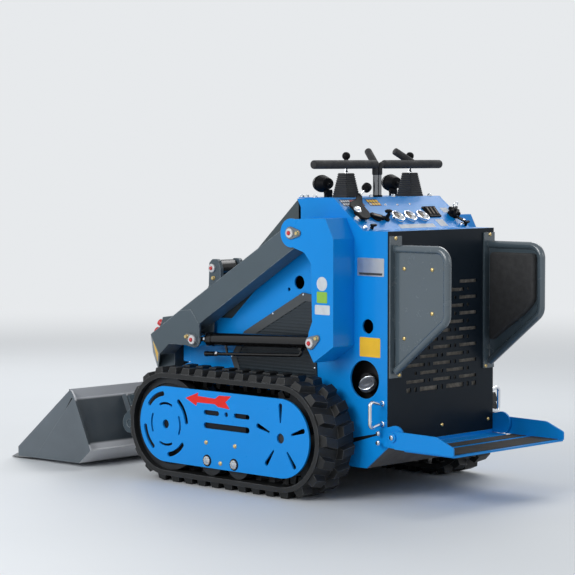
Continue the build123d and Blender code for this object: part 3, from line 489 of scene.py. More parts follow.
label(-548, side_face, 826, 126, 64, 0, 1.0)
for x in (-604, -492):
    for z in (852, 800):
        button_screw(on_side(x, side_face + 1, z, 1), 2.4, 1.4)
label(-548, side_face + 1.0, 802, 112, 8, 1, 0.2, 2)
keep("rating_plate", "machine", plate_metal, label_dark, slot="chrome", smooth=0)
label(-545.5, side_face, 542.5, 97, 69)
keep("tank_label", "machine", label_yellow, slot="blue_paint", smooth=0)

cap_metal = surface(
    "cap_metal", (0.17, 0.18, 0.20), 0.30, metal=0.25, patch=0.15, patch_size=0.02, grain=0.002)
tank_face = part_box("fuel_tank")[1].y / MM
cap_place = looking(at(-512, tank_face + 24, 412.5), (-0.1, 0.70, 0.70)) @ Matrix.Scale(0.82, 4)
turned(cap_place, [(38, -20), (38.5, -18), (38.5, -2), (37, 1), (31, 2.6), (29, 1.4), (16, 1.4),
                   (15, 2.2), (5, 2.4), (4.4, 4.2), (0, 4.4)], 44)
for number in range(24):
    spoke = cap_place @ spin(2 * pi * number / 24) @ moved(38, 0, -10)
    slab(spoke, [(-1, -2.4), (1.6, -1.4), (1.6, 1.4), (-1, 2.4)], -8, 8)
slab(cap_place @ spin(0.5), rounded(46, 9, 4), 1.0, 5.5, 0, 1.5)
turned(cap_place, [(37, -3), (39.5, -2.5), (39.5, 1.5), (37.5, 2.6), (35.5, 1.2)], 44, 1)
keep("fuel_cap", "machine", cap_metal, bright_zinc, slot="chrome")

# dark strip laid on the side plate: a painted shadow standing for the gap between it and the belly
belly_shadow_strip = [(-432, 187), (-588, 235.5), (-588, 241), (-432, 207)]
for side, sign in sides():
    side_slab(belly_shadow_strip, side_face, sign, -0.2, 0.4)
keep("belly_painted_shadow", "machine", frame_paint, slot="charcoal_paint", smooth=0)

# ---------------------------------------------------------------- hood, cowl and vents
# Folded sheet: a sloping dark grey hood and louvred side vents in satin paint, screwed to the
# body, and a blue front cowl over the radiator.
hood_paint = surface(
    "hood_paint", (0.058, 0.078, 0.087), 0.34, specular=0.3, coat=0.1, coat_roughness=0.15, patch=0.06,
    grain=0.003, grain_depth=0.00006, edge=0.002, edge_part=0.5)
vent_paint = surface(
    "vent_paint", (0.024, 0.034, 0.043), 0.36, specular=0.3, coat=0.1, coat_roughness=0.2, patch=0.06,
    spread=0.10, grain=0.003, grain_depth=0.00006, edge=0.0015)
dress(hood_paint, "hood")
dress(vent_paint, *pair("side_vent"))
dress(blue_paint, "front_cowl")
vent_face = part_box("side_vent_left")[1].y / MM - 1
rim_paint = surface(
    "rim_paint", (0.070, 0.078, 0.083), 0.42, specular=0.3, patch=0.08, grain=0.002, grain_depth=0.00006,
    edge=0.002, edge_part=0.4)
rim_depth = 1.7
rim = [(-272, 716), (-222, 722), (79, 564), (150, 467), (118, 396), (90, 396), (120, 464), (71, 531),
       (-237, 692), (-272, 690)]
for side, sign in sides():
    for x, z in ((-227, 715), (-73, 638), (143, 467), (-277, 566), (-284, 452), (60, 401.5)):
        button_screw(on_side(x, vent_face + rim_depth, z, sign), 4.6, 2.8)
    keep("vent_screws_" + side, "machine", bright_zinc, slot="chrome")
    side_slab(rim, vent_face, sign, -0.3, rim_depth)
    keep("vent_rim_" + side, "machine", rim_paint, slot="charcoal_paint", smooth=0)

# ---------------------------------------------------------------- console
# Folded blue sheet with the operator's controls along its slope: three gauges in chrome bezels,
# a rocker bank, a throttle lever, the ignition key, and bare strips where words would be.
dress(blue_paint, "console")
slope_low, slope_high = Vector((-513.0, 953.0)), Vector((-369.0, 1067.0))
slope = (slope_high - slope_low).normalized()
slope_out = Vector((-slope.y, 0.0, slope.x))
deck_level = slope_high.y


def on_slope(y, height, lift=0.0, lean=(0, 0)):
    """Placement on the console's slope at a height, with its y axis up the slope."""
    along = (height - slope_low.y) / slope.y
    x, z = slope_low.x + slope.x * along, height
    out = Vector((slope_out.x, lean[0], slope_out.z)).normalized()
    place = looking(at(x, y, z), out, (slope.x, lean[1], slope.y))
    return place @ moved(0, 0, lift)


chrome = surface(
    "chrome", (0.74, 0.76, 0.79), 0.09, metal=1.0, patch=0.04, patch_size=0.05, spread=0.05,
    grain_depth=0.00001)
# tan of the dial faces, also laid on the switches as painted highlights
gauge_face_and_highlight_tan = printed(
    "gauge_face_and_highlight_tan", (0.20, 0.155, 0.11), specular=0.2, coat=0.1, patch=0.2, patch_size=0.02, spread=0.15)
white_print = printed("white_print", (0.62, 0.65, 0.68), 0.45, specular=0.25, patch=0.06, patch_size=0.02)
label_red = printed("label_red", (0.50, 0.07, 0.06), specular=0.25, patch=0.05, patch_size=0.05)
label_ink = printed("label_ink", (0.020, 0.030, 0.075), specular=0.25, patch_size=0.02)
black_plastic = surface(
    "black_plastic", (0.008, 0.008, 0.009), 0.46, specular=0.07, patch=0.12, patch_size=0.04, spread=0.1,
    grain=0.0014, grain_depth=0.00006, edge=0.0012, edge_part=0.35)

for y in (56, -11, -80):
    place = on_slope(y, 993)
    turned(place, [(28, 0), (28, 9), (26.5, 12), (23.5, 12.6), (22, 10.5), (22, 8)], 40)
    turned(place, [(22, 8.4), (14, 9.6), (0, 10.0)], 40, 1)
    scale = [(radius * cos(radians(a)), radius * sin(radians(a)))
             for radius, way in ((21, range(-115, 46, 10)), (8, range(45, -116, -10))) for a in way]
    slab(place, scale, 8.2, 9.9, 3)
    slab(place @ spin(0.6), [(-1.1, -4), (1.1, -4), (0.3, 16), (-0.3, 16)], 9.4, 10.6, 2)
    for number in range(9):
        tick = place @ spin(radians(-120 + 30 * number)) @ moved(0, 18, 0)
        slab(tick, [(-0.5, -2), (0.5, -2), (0.5, 2), (-0.5, 2)], 8.6, 10.2, 2)
gauges = keep("gauges", "machine", chrome, gauge_face_and_highlight_tan, black_plastic, white_print, slot="chrome")
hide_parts("console_controls")

# rocker bank, turning switch, short lever, and the catch handles below them; the tan strips on the rockers,
# the turning knob and the lever cap are painted highlights
place = on_slope(-158, 1009)
slab(place, rounded(66, 58, 4), 0, 5, 0, 1.2)
for shift in (-20, 0, 20):
    tilt = place @ moved(shift, 0, 5) @ spin(0.16, "X")
    slab(tilt, rounded(16, 44, 2), -3, 4.5, 0, 1.2)
    # tan strip on each rocker: a painted highlight
    slab(tilt, rounded(4, 30, 1), 4.4, 5.0, 1)
place = on_slope(167, 995)
turned(place, [(20, 0), (20, 3), (17, 5), (0, 5)], 32)
slab(place @ spin(-0.4), rounded(62, 21, 10), 4, 13, 0, 4)
# tan strip on the turning knob: a painted highlight
slab(place @ spin(-0.4), rounded(34, 8, 4), 12.6, 13.4, 1)
place = on_slope(120, 990)
turned(place, [(14, 0), (14, 4), (10, 6), (7, 9), (6, 26), (0, 26)], 24)
cap = place @ moved(3, 10, 28) @ spin(-0.7, "X")
turned(cap, [(0, -6), (9, -6), (14, -2), (14, 3), (10, 6), (0, 7)], 28)
# tan strip on the lever cap: a painted highlight
slab(cap, rounded(16, 7, 3), 6.4, 7.6, 1)
for y, lean in ((240, 0), (-279, 0.1)):
    place = on_slope(y, 960) @ spin(lean)
    slab(place, rounded(32, 8, 3), 12, 19, 0, 2)
    turned(place, [(7, 0), (6, 6), (5, 14), (0, 14)], 18)
keep("switches", "machine", black_plastic, gauge_face_and_highlight_tan, slot="black_plastic")

# ignition: lobed cap on its base, key ring standing in it, and a tag hanging from the ring
place = on_slope(-261, 997)
turned(place, [(20, 0), (20, 5), (16, 8), (14, 14), (0, 14)], 32)
lobes = []
for number in range(72):
    angle = number * pi / 36
    reach = 21 + 4.5 * cos(6 * angle)
    lobes.append((reach * cos(angle), reach * sin(angle)))
slab(place, lobes, 12, 26, 0, 4)
slab(place @ spin(0.7), rounded(30, 9, 4), 24, 36, 0, 3)
ring_middle = place @ moved(3, 14, 40) @ spin(pi / 2, "X")
for number in range(28):
    link = ring_middle @ spin(2 * pi * number / 28)
    slab(link, [(9.2, -1.3), (11.8, -1.3), (11.8, 1.3), (9.2, 1.3)], -1.2, 1.2, 1, 0.5)
tag = on_slope(-263, 972, 14) @ spin(0.35) @ spin(-0.2, "X")
slab(tag, rounded(17, 40, 7), -2, 3, 0, 1.5)
turned(tag @ moved(0, -13, 3), [(4, 0), (4, 1.5), (0, 2)], 18, 1)
for y in (276, -262):
    turned(on_slope(y, 961), [(9, 0), (9, 5), (7, 9), (3, 10.5), (0, 10.5)], 24, 1)
keep("ignition", "machine", black_plastic, chrome, slot="black_plastic")

# throttle: bell-shaped black handle with a chromed hub, a bright neck and a grooved ball
place = on_slope(236, 1006)
turned(place, [(26, 0), (26, 4), (20, 8), (18, 14), (0, 14)], 36)
bell = [(-37, 37), (-31, -34), (-16, -41), (4, -38), (20, -27), (29, -9), (31, 10), (34, 32), (45, 54),
        (60, 72), (76, 92), (56, 96), (38, 80), (14, 64), (-14, 56)]
slab(place, bell, 12, 19, 0, 2.5)
hub = place @ moved(-21, 8, 19)
turned(hub, [(16, 0), (16, 2), (13, 5), (8, 6), (7, 10), (0, 11)], 32, 1)
nut = on_slope(271, 993)
turned(nut, [(14, 0), (14, 2), (12, 3), (11, 9), (8, 11), (0, 11)], 28, 1)
neck_foot = place @ Vector((66 * MM, 92 * MM, 15 * MM))
ball = at(-369, 117, 1102)
neck = looking(neck_foot, ball - neck_foot, (1, 0, 0.2))
reach = (ball - neck_foot).length / MM
turned(neck, [(9, -4), (9, 2), (6, 5), (4.5, 10), (4.5, reach - 16), (0, reach - 16)], 20, 1)
turned(neck, [(0, reach - 19), (8, reach - 19), (11, reach - 15), (11, reach - 12), (16.5, reach - 9),
              (17.5, reach - 4), (16.2, reach - 2), (16.2, reach + 1), (17.5, reach + 3), (17, reach + 8),
              (13, reach + 13), (10, reach + 12), (7, reach + 14), (0, reach + 15)], 32)
keep("throttle", "machine", black_plastic, chrome, slot="black_plastic")

for y, z in ((55, 1039), (-10, 1038), (-82, 1040)):
    button_screw(on_slope(y, z), 5, 3.2)
for x, y in ((-361, 85), (-361, -38), (-361, -243), (-221, 276), (-262, 276), (-198, 276), (-221, -276)):
    place = Matrix.Translation(at(x, y, deck_level))
    turned(place, [(10, 0), (10, 1.5), (7.5, 2), (7.5, 8), (6, 9.5), (0, 9.5)], 20)
keep("console_screws", "machine", bright_zinc, slot="chrome")

# bare coloured plates: two tiled blocks, a strip and two small ones
dark_block, amber_block = (221, 1049), (107, 1048)
for (y, z), width, height, lift, finish in (((-12, 963), 196, 21, 0.5, 0), ((-161, 971), 43, 38, 0.5, 0),
                                            ((-246, 1015), 38, 27, 0.5, 0), (dark_block, 112, 38, 0.4, 3),
                                            (amber_block, 62, 38, 0.4, 3)):
    slab(on_slope(y, z), rounded(width, height, 2), -0.2, lift, finish)
for column in range(9):
    for row in (-1, 1):
        tile = on_slope(dark_block[0] + 48 - 12 * column, dark_block[1] + row * 5.2)
        shade = 0 if column < 3 or (column + row) % 4 == 0 else 2
        slab(tile @ spin(-0.5), rounded(8.5, 10.5, 1), 0, 0.9, shade)
for column in range(4):
    for row in (-1, 1):
        tile = on_slope(amber_block[0] + 22.5 - 15 * column, amber_block[1] + row * 5.2)
        shade = 0 if (column, row) == (0, -1) else 1
        slab(tile @ spin(-0.4), rounded(11, 13, 1), 0, 0.9, shade)
keep("console_labels", "machine", white_print, label_yellow, label_red, label_ink,
     slot="blue_paint", smooth=0)

# ---------------------------------------------------------------- drive levers
# Chromed shafts with black ball knobs, in square rubber boots moulded in eleven pleats that
# step in from a flat foot on the deck.
boot_rubber = surface(
    "boot_rubber", (0.017, 0.017, 0.018), 0.55, patch=0.15, patch_size=0.05, spread=0.12, grain=0.0016,
    grain_depth=0.00010)
lever_low, lever_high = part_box("lever_boots")
deck = lever_low.z / MM
boot_top = lever_high.z / MM
lever_x = ((lever_low.x + lever_high.x) / 2 - wheelbase_middle) / MM
lever_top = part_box("drive_levers")[1]
knob_radius, boot_top_half = 15.0, 23.0
lever_y, knob_top = lever_top.y / MM - knob_radius, lever_top.z / MM
boot_half = lever_high.y / MM - lever_y


def square_ring(half, radius, height, steps=4):
    """Level square with rounded corners."""
    return [(x, y, height) for x, y in rounded(2 * half, 2 * half, radius, steps)]


def bellows(x, y):
    """Square boot whose pleats step in from the deck to the shaft."""
    place = Matrix.Translation(at(x, y, deck))
    tall = boot_top - deck
    rings = [square_ring(boot_half, 6, 0), square_ring(boot_half, 6, 3.5),
             square_ring(boot_half - 1.2, 6, 4.2)]
    pleats = 11
    for step in range(pleats):
        wide = boot_half - 0.6 - (boot_half - boot_top_half) * step / pleats
        low = 4.4 + (tall - 5) * step / pleats
        rise = (tall - 5) / pleats
        for part, dip in ((0.10, 0.5), (0.22, 0.0), (0.48, 0.2), (0.62, 1.2), (0.74, 2.6), (0.92, 2.6)):
            rings.append(square_ring(wide - dip, 5, low + rise * part))
    rings += [square_ring(boot_top_half - 0.4, 5, tall - 1.6),
              square_ring(boot_top_half - 1.6, 4.5, tall - 0.5),
              square_ring(8, 6, tall - 0.5), square_ring(5.5, 5, tall)]
    points = [point for ring in rings for point in ring]
    count = len(rings[0])
    faces = []
    for row in range(len(rings) - 1):
        for i in range(count):
            j = (i + 1) % count
            faces.append([row * count + i, row * count + j, (row + 1) * count + j, (row + 1) * count + i])
    faces.append(list(range((len(rings) - 1) * count, len(rings) * count)))
    faces.append(list(range(count))[::-1])
    put(points, faces, place)


for side, sign in sides():
    bellows(lever_x, sign * lever_y)
boots = keep("lever_bellows", "machine", boot_rubber, slot="soft_rubber", smooth=50)
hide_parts("lever_boots")

for side, sign in sides():
    base = Matrix.Translation(at(lever_x, sign * lever_y, boot_top - 2))
    shaft = knob_top - boot_top - 26
    turned(base, [(0, 0), (7.5, 0), (7.5, 6), (5, 9), (5, shaft), (0, shaft)], 20)
    knob = Matrix.Translation(at(lever_x, sign * lever_y, knob_top))
    turned(knob, [(0, -32), (7, -32), (8, -29), (8, -26), (11, -25), (14, -20), (15, -14.5), (14, -8.5),
                  (10.5, -3.5), (6, -0.8), (0, 0)], 28, 1)
levers = keep("lever_shafts", "machine", chrome, black_plastic, slot="chrome")
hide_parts("drive_levers")

# ---------------------------------------------------------------- hand grips
# Two bright steel posts rise side by side from the deck and bend outward into level bars. Foam
# sleeves cover the bends, the bars and the inclined stubs.


def foam(name, colour, cell, depth):
    """Closed-cell foam: small pits of uneven size, and no gloss."""
    material = surface(name, colour, 0.72, patch=0.18, patch_size=0.02, spread=0.15, grain=cell,
                       grain_depth=depth)
    tree = material.node_tree
    place = tree.nodes.new("ShaderNodeTexCoord").outputs["Object"]
    pits = add_node(tree, "TexVoronoi", Vector=place, Scale=1 / (cell * 2.2))
    relief = add_node(tree, "Bump", Height=pits.outputs["Distance"], Strength=0.7, Distance=depth * 1.6)
    shader = tree.nodes["Principled BSDF"]
    tree.links.new(shader.inputs["Normal"].links[0].from_socket, relief.inputs["Normal"])
    tree.links.new(relief.outputs[0], shader.inputs["Normal"])
    return material


grip_foam = foam("grip_foam", (0.022, 0.022, 0.024), 0.0011, 0.00016)


def join_rings(rings):
    """Skin over rings of vertices, closed at both ends."""
    count = len(rings[0])
    for low, high in zip(rings, rings[1:]):
        for i in range(count):
            j = (i + 1) % count
            bench.faces.new((low[i], low[j], high[j], high[i]))
    bench.faces.new(rings[0][::-1])
    bench.faces.new(rings[-1])


def run_tube(points, radius, bend, name, body, material, slot=None, ends=True):
    """Round bar or sleeve along straight runs, with bends of a given radius."""
    centres = [Vector(points[0])]
    for before, corner, after in zip(points, points[1:], points[2:]):
        corner = Vector(corner)
        back, ahead = (Vector(before) - corner).normalized(), (Vector(after) - corner).normalized()
        half = back.angle(ahead) / 2
        cut = bend / max(0.05, abs(sin(half) / cos(half)))
        middle = corner + (back + ahead).normalized() * (bend / sin(half))
        start, stop = corner + back * cut, corner + ahead * cut
        for step in range(9):
            arm = (start - middle).lerp(stop - middle, step / 8)
            centres.append(middle + arm.normalized() * bend)
    centres.append(Vector(points[-1]))
    up = Vector((0.31, 0.17, 0.93))
    rings = []
    for number, centre in enumerate(centres):
        ahead = (centres[min(number + 1, len(centres) - 1)] - centres[max(number - 1, 0)]).normalized()
        across = ahead.cross(up).normalized()
        rings.append((centre, across, across.cross(ahead), radius, ahead))

    def dome(ring, wide, rise):
        return (ring[0] + ring[4] * (radius * 0.5 * rise), *ring[1:3], radius * wide, ring[4])

    if ends:
        caps = ((0.98, 0.35), (0.92, 0.62), (0.78, 0.84), (0.45, 0.98))
        rings = ([dome(rings[0], wide, -rise) for wide, rise in caps[::-1]] + rings
                 + [dome(rings[-1], wide, rise) for wide, rise in caps])
    around = 20
    verts = []
    for centre, across, over, size, ahead in rings:
        spots = []
        for number in range(around):
            angle = 2 * pi * number / around
            spots.append(centre + across * size * cos(angle) + over * size * sin(angle))
        verts.append([bench.verts.new(at(*spot)) for spot in spots])
    join_rings(verts)
    return keep(name, body, material, slot=slot, smooth=50)


# the posts are bright steel, but their colour is dark: a painted dark reflection of dark surroundings
post_steel = surface(
    "post_steel", (0.20, 0.205, 0.215), 0.16, metal=1.0, patch=0.06, patch_size=0.05, spread=0.06,
    grain_depth=0.00001)
grip_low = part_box("hand_grip_left")[0]
grip_z, bar_radius, stub_radius, elbow = 1186.0, 16.0, 14.0, 18.0
grip_x = (grip_low.x - wheelbase_middle) / MM + bar_radius
sleeve_z = 1152.0
# each side's post, start and end of its foam bar, foot of its stub, and how far that leans
grips = (("left", 57, 49, 388, 56, (66, -32, 50)), ("right", 33, 13, -311, -162, (30, 80, 50)))
for side, post_y, foam_y, end_y, stub_y, lean in grips:
    out = 1 if end_y > post_y else -1
    post = run_tube([(grip_x, post_y, deck), (grip_x, post_y, grip_z), (grip_x, end_y - out * 40, grip_z)],
                    8, elbow, "grip_post_" + side, "machine", post_steel, "chrome", False)
    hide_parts("hand_grip_" + side)
    run_tube([(grip_x, post_y, sleeve_z), (grip_x, post_y, grip_z), (grip_x, post_y + out * 34, grip_z)],
             10.8, elbow, "grip_sleeve_" + side, "machine", grip_foam, "grip_foam")
    run_tube([(grip_x, foam_y + out * 7, grip_z), (grip_x, end_y - out * 8, grip_z)],
             bar_radius - 0.2, elbow, "grip_bar_" + side, "machine", grip_foam, "grip_foam")
    foot = Vector((grip_x, stub_y, grip_z))
    tip = foot + Vector(lean) * (1 - 6.5 / Vector(lean).length)
    run_tube([foot, tip], stub_radius - 0.2, elbow, "grip_stub_" + side, "machine", grip_foam, "grip_foam")
    base = Matrix.Translation(at(grip_x, post_y, deck))
    turned(base, [(11, 0), (11, 5), (10, 7), (8.2, 7)], 28)
    keep("grip_collar_" + side, "machine", black_plastic, slot="black_plastic")

# ---------------------------------------------------------------- work lamps
# Oval lamps in black plastic housings on short brackets. Each has a clear lens in a bright ring,
# a glossy rim, cooling ribs and a cable gland behind.
dress(black_plastic, "work_lamps")
lamp_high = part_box("work_lamps")[1]
lamp_front = (lamp_high.x - wheelbase_middle) / MM
lamp_half_width, lamp_half_height = 40.0, 29.0
lamp_y = lamp_high.y / MM - lamp_half_width
lamp_z = lamp_high.z / MM - lamp_half_height
lamp_gloss = surface(
    "lamp_gloss", (0.012, 0.012, 0.013), 0.22, specular=0.6, patch_size=0.02, spread=0.06, grain=0.002,
    grain_depth=0.00004)
oval = Matrix.Diagonal((lamp_half_width / lamp_half_height, 1.0, 1.0, 1.0))
lens_glass = surface(
    "lens_glass", (0.55, 0.58, 0.62), 0.05, coat=1.0, coat_roughness=0.02, patch_size=0.01, spread=0.03,
    grain_depth=0.0002)
for side, sign in sides():
    front = looking(at(lamp_front, sign * lamp_y, lamp_z), (1, 0, 0)) @ oval
    turned(front, [(25.5, -3), (25, -1.8), (18, -1.0), (8, -0.6), (0, -0.5)], 40)
    turned(front, [(28.9, -7), (28.9, -1.5), (28.2, -0.3), (26.6, -0.2), (25.6, -2.4)], 40, 2)
    for depth, size in ((-24, 25.6), (-29, 24.4), (-34, 22.8), (-39, 21.0)):
        low, high = depth - 1, depth + 1
        turned(front, [(size - 6, low), (size, low), (size, high), (size - 6, high)], 40, 1)
    turned(front, [(28, -12), (31.5, -11.5), (32.5, -9.5), (31.5, -7.5), (28, -7)], 40, 3)
    gland = looking(at(lamp_front - 40, sign * lamp_y, lamp_z - 4), (-1, 0, -0.2))
    turned(gland, [(8, -4), (8, 4), (6, 6), (4.5, 10), (0, 10)], 20, 1)
    for across in (-22, 2):
        outward = sign if across > 0 else -sign
        knob = looking(at(lamp_front - 32, sign * (lamp_y + across), lamp_z - 32), (0, outward, 0))
        turned(knob, [(8, -4), (8, 4), (6, 6), (0, 6)], 20, 1)
keep("lamp_fittings", "machine", lens_glass, black_plastic, bright_zinc, lamp_gloss, slot="black_plastic")

# ---------------------------------------------------------------- rear guard
# Perforated sheet in dark satin powder coat, held by plated screws. The fins of a cooling screen
# show through its slots.
guard_paint = surface(
    "guard_paint", (0.0090, 0.0150, 0.0225), 0.32, specular=0.12, coat=0.04, patch=0.08, patch_size=0.6,
    spread=0.1, grain=0.0022, edge=0.0012, edge_part=0.4)
dress(guard_paint, "rear_guard")
guard_x = (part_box("rear_guard")[0].x - wheelbase_middle) / MM
for y, z in ((262, 929), (241, 446), (0, 249), (-264, 247), (-262, 929), (-241, 446), (262, 247)):
    lift = 6.3 if z > 400 else 0.0      # the upper screws stand on the hip guards' mounting plates
    button_screw(looking(at(guard_x - lift, y, z), (-1, 0, 0)), 7, 4.5)
keep("guard_screws", "machine", yellow_zinc, slot="chrome")
# the fins are painted paler than their metal, as painted light where little light reaches them behind the
# slots
screen_metal = surface(
    "screen_metal", (0.42, 0.39, 0.35), 0.5, metal=0.3, patch=0.35, patch_size=0.02, spread=0.2,
    grain=0.002, grain_depth=0.0001)
screen_z, fin_gap = 575, 8
slab(looking(at(guard_x + 19, 0, screen_z), (-1, 0, 0)), rounded(410, 410, 6), -1, 0, 1)
for number in range(-25, 26):
    fin = looking(at(guard_x + 18.5, fin_gap * number, screen_z), (-1, 0, 0))
    slab(fin @ spin(0.5, "Y"), rounded(1.6, 404, 0.7, 1), -1, 8)
keep("cooling_screen", "machine", screen_metal, frame_paint, slot="charcoal_paint", smooth=0)

# ---------------------------------------------------------------- hip guards and pads
# Bent tube round a steel plate either side of the operator, sprayed slate grey, with a foam pad
# glued inside each and the plate's screws showing outside.
# its wide pale edges are mostly painted highlight lines along the arms' edges, with some wear
slate_paint = surface(
    "slate_paint", (0.076, 0.103, 0.122), 0.34, specular=0.3, coat=0.12, coat_roughness=0.14, patch=0.06,
    patch_size=0.5, grain=0.003, grain_depth=0.00006, edge=0.0045, edge_colour=(0.36, 0.40, 0.43),
    edge_part=0.85)
hoop_paint = surface(
    "hoop_paint", (0.074, 0.102, 0.122), 0.22, coat=0.7, coat_roughness=0.05, patch=0.06, patch_size=0.5,
    grain=0.003, grain_depth=0.00004, edge=0.0022, edge_colour=(0.28, 0.32, 0.35), edge_part=0.5)
dress(hoop_paint, *pair("hip_guard"))
pad_foam = foam("pad_foam", (0.030, 0.030, 0.031), 0.0017, 0.0003)
pad_outline = [(-658, 866), (-856, 866), (-856, 695), (-820, 655), (-658, 540)]


def soft_corner(outline, radius, steps=5):
    """Outline with each corner rounded."""
    made = []
    count = len(outline)
    for number in range(count):
        before, corner, after = (Vector(outline[(number + k) % count]) for k in (-1, 0, 1))
        start = corner + (before - corner).normalized() * radius
        stop = corner + (after - corner).normalized() * radius
        for step in range(steps + 1):
            t = step / steps
            made.append((1 - t) ** 2 * start + 2 * t * (1 - t) * corner + t ** 2 * stop)
    return made


def make_pad(side, sign):
    """Foam slab with eased edges and a slight crown, flat where it is glued on."""
    low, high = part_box("hip_pad_" + side)
    back = max(abs(low.y), abs(high.y)) / MM
    front = min(abs(low.y), abs(high.y)) / MM
    outline = soft_corner(pad_outline, 16)
    centre = sum(outline, Vector((0, 0))) / len(outline)
    rows = [(0.0, back), (0.0, front + 5), (1.2, front + 2.6), (4.0, front + 1.0), (10, front + 0.5)]
    rings = []
    for inset, y in rows:
        spots = [p + (centre - p).normalized() * inset for p in outline]
        rings.append([bench.verts.new(at(spot.x, sign * y, spot.y)) for spot in spots])
    for share in (0.75, 0.5, 0.25):
        ring = []
        for p in outline:
            spot = centre + (p + (centre - p).normalized() * 10 - centre) * share
            ripple = noise.noise(Vector((spot.x, spot.y, sign)) * 0.012) * 0.6
            ring.append(bench.verts.new(at(spot.x, sign * (front + 0.5 * share + max(0, ripple)), spot.y)))
        rings.append(ring)
    join_rings(rings)
    pad = keep("hip_pad_foam_" + side, "machine", pad_foam, slot="pad_foam", smooth=60)
    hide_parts("hip_pad_" + side)


guard_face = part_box("hip_pad_left")[1].y / MM + 6.3
for side, sign in sides():
    make_pad(side, sign)
    for x, z in ((-681, 824), (-808.5, 825), (-808.5, 673), (-681.5, 580)):
        button_screw(on_side(x, guard_face, z, sign), 7.5, 4.5)
    keep("pad_screws_" + side, "machine", yellow_zinc, slot="chrome")

# ---------------------------------------------------------------- rear hand holds
# Chromed rod bent to a D on each side of the machine, with a turned flange where each of its
# feet meets the side plate.
dress(chrome, "hand_holds")
hold_low, hold_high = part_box("hand_holds")
hold_x = ((hold_low.x + hold_high.x) / 2 - wheelbase_middle) / MM
for side, sign in sides():
    for z in (275, 348):
        turned(on_side(hold_x, side_face, z, sign), [(10, 0), (10, 2), (9, 3), (7.6, 3.2), (6.7, 6)], 30)
    keep("hold_flanges_" + side, "machine", bright_zinc, slot="chrome")

# ---------------------------------------------------------------- platform
# Folded steel platform in the body's blue with a cheek at each side, two strips of coarse black
# grip tape and a nut on each hinge pin. The sill before it and its ears' bolts stay on the body.
grip_tape = surface(
    "grip_tape", (0.045, 0.043, 0.041), 0.85, specular=0.2, patch=0.12, patch_size=0.05, spread=0.1,
    grain=0.0016, grain_depth=0.0009)
joints = {joint["name"]: joint for joint in frame["joints"]}


def joint_spot(name):
    """How far ahead and up a joint's axis lies."""
    ahead, _, up = joints[name]["pos_m"]
    return (ahead - wheelbase_middle) / MM, up / MM


hinge_x, hinge_z = joint_spot("platform_hinge")
platform_low, platform_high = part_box("platform")
platform_out, cheek_thickness = platform_high.y / MM, 7.0
platform_rear = (platform_low.x - wheelbase_middle) / MM
tread_z, tread_thickness, tread_front = 195.0, 6.0, hinge_x - 48
cheek = [(hinge_x + 22, hinge_z - 20), (hinge_x + 22, hinge_z + 8), (hinge_x + 19, hinge_z + 14),
         (hinge_x + 12, hinge_z + 17), (hinge_x - 17, hinge_z + 22), (platform_rear + 84, hinge_z + 20),
         (platform_rear + 76, hinge_z + 19), (platform_rear + 4, hinge_z - 10), (platform_rear, hinge_z - 15),
         (platform_rear, hinge_z - 41), (hinge_x - 10, hinge_z - 41)]
deck_middle = at((platform_rear + tread_front) / 2, 0, tread_z - tread_thickness)
slab(looking(deck_middle, (0, 0, 1), (1, 0, 0)),
     rounded(2 * (platform_out - cheek_thickness), tread_front - platform_rear, 1, 2),
     0, tread_thickness, 0, 0.8)
for side, sign in sides():
    side_slab(cheek, platform_out - cheek_thickness, sign, 0, cheek_thickness, 0, 1.0)
deck_piece = keep("platform_deck", "platform", blue_paint, slot="blue_paint", smooth=0)
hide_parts("platform")
for rear, front in ((-927, -811), (-784, hinge_x - 49)):
    outline = rounded(2 * (platform_out - cheek_thickness) - 14, front - rear, 3)
    slab(looking(at((rear + front) / 2, 0, tread_z), (0, 0, 1), (1, 0, 0)), outline, -0.2, 1.4, 0, 0.6)
keep("tread_strips", "platform", grip_tape, slot="soft_rubber", smooth=0)
sill_front, sill_rear, sill_width = -632, hinge_x - 32, 570
slab(looking(at((sill_rear + sill_front) / 2, 0, 192), (0, 0, 1), (1, 0, 0)),
     rounded(sill_width, sill_front - sill_rear, 1, 2), 0, 4, 0, 0.6)
slab(looking(at(sill_front, 0, 200), (-1, 0, 0)), rounded(sill_width, 16, 2, 2), 0, 4, 0, 0.8)
keep("rear_sill", "machine", blue_paint, slot="blue_paint", smooth=0)
ear_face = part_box("hinge_ears")[1].y / MM
for side, sign in sides():
    hex_bolt(on_side(hinge_x, platform_out + 4.9, hinge_z, sign), 16, 4.5, 0, 0)
    for z in (244, 211):
        hex_bolt(on_side(-606, ear_face, z, sign), 14, 5, 0)
    keep("hinge_nut_" + side, "machine", bright_zinc, slot="chrome")

# ---------------------------------------------------------------- towers and their pins
# Boxed blue uprights over the tracks. Each pin is kept by a teardrop plate with one small bolt,
# and has a red grease cap in a pale ring. Bare stickers stand on the left tower.
dress(blue_paint, *pair("tower"))
tower_face = 403.0
cap_red = surface(
    "cap_red", (0.62, 0.020, 0.025), 0.35, coat=0.4, patch=0.08, patch_size=0.01, grain=0.001,
    grain_depth=0.00002)
ring_white = surface(
    "ring_white", (0.66, 0.66, 0.66), 0.42, patch=0.08, patch_size=0.01, grain=0.001, grain_depth=0.00003)
keeper_steel = surface(
    "keeper_steel", (0.20, 0.22, 0.24), 0.36, metal=0.5, patch=0.12, patch_size=0.03, grain=0.002,
    grain_depth=0.00006, edge=0.001, edge_part=0.5)


def teardrop(radius, small, reach, steps=10):
    """Round end about the origin running to a smaller one at the reach."""
    lean = atan2(radius - small, reach)
    made = []
    for step in range(steps + 1):
        angle = pi / 2 - lean + (pi + 2 * lean) * step / steps
        made.append((radius * cos(angle), radius * sin(angle)))
    for step in range(steps + 1):
        angle = -pi / 2 + lean + (pi - 2 * lean) * step / steps
        made.append((reach + small * cos(angle), small * sin(angle)))
    return made


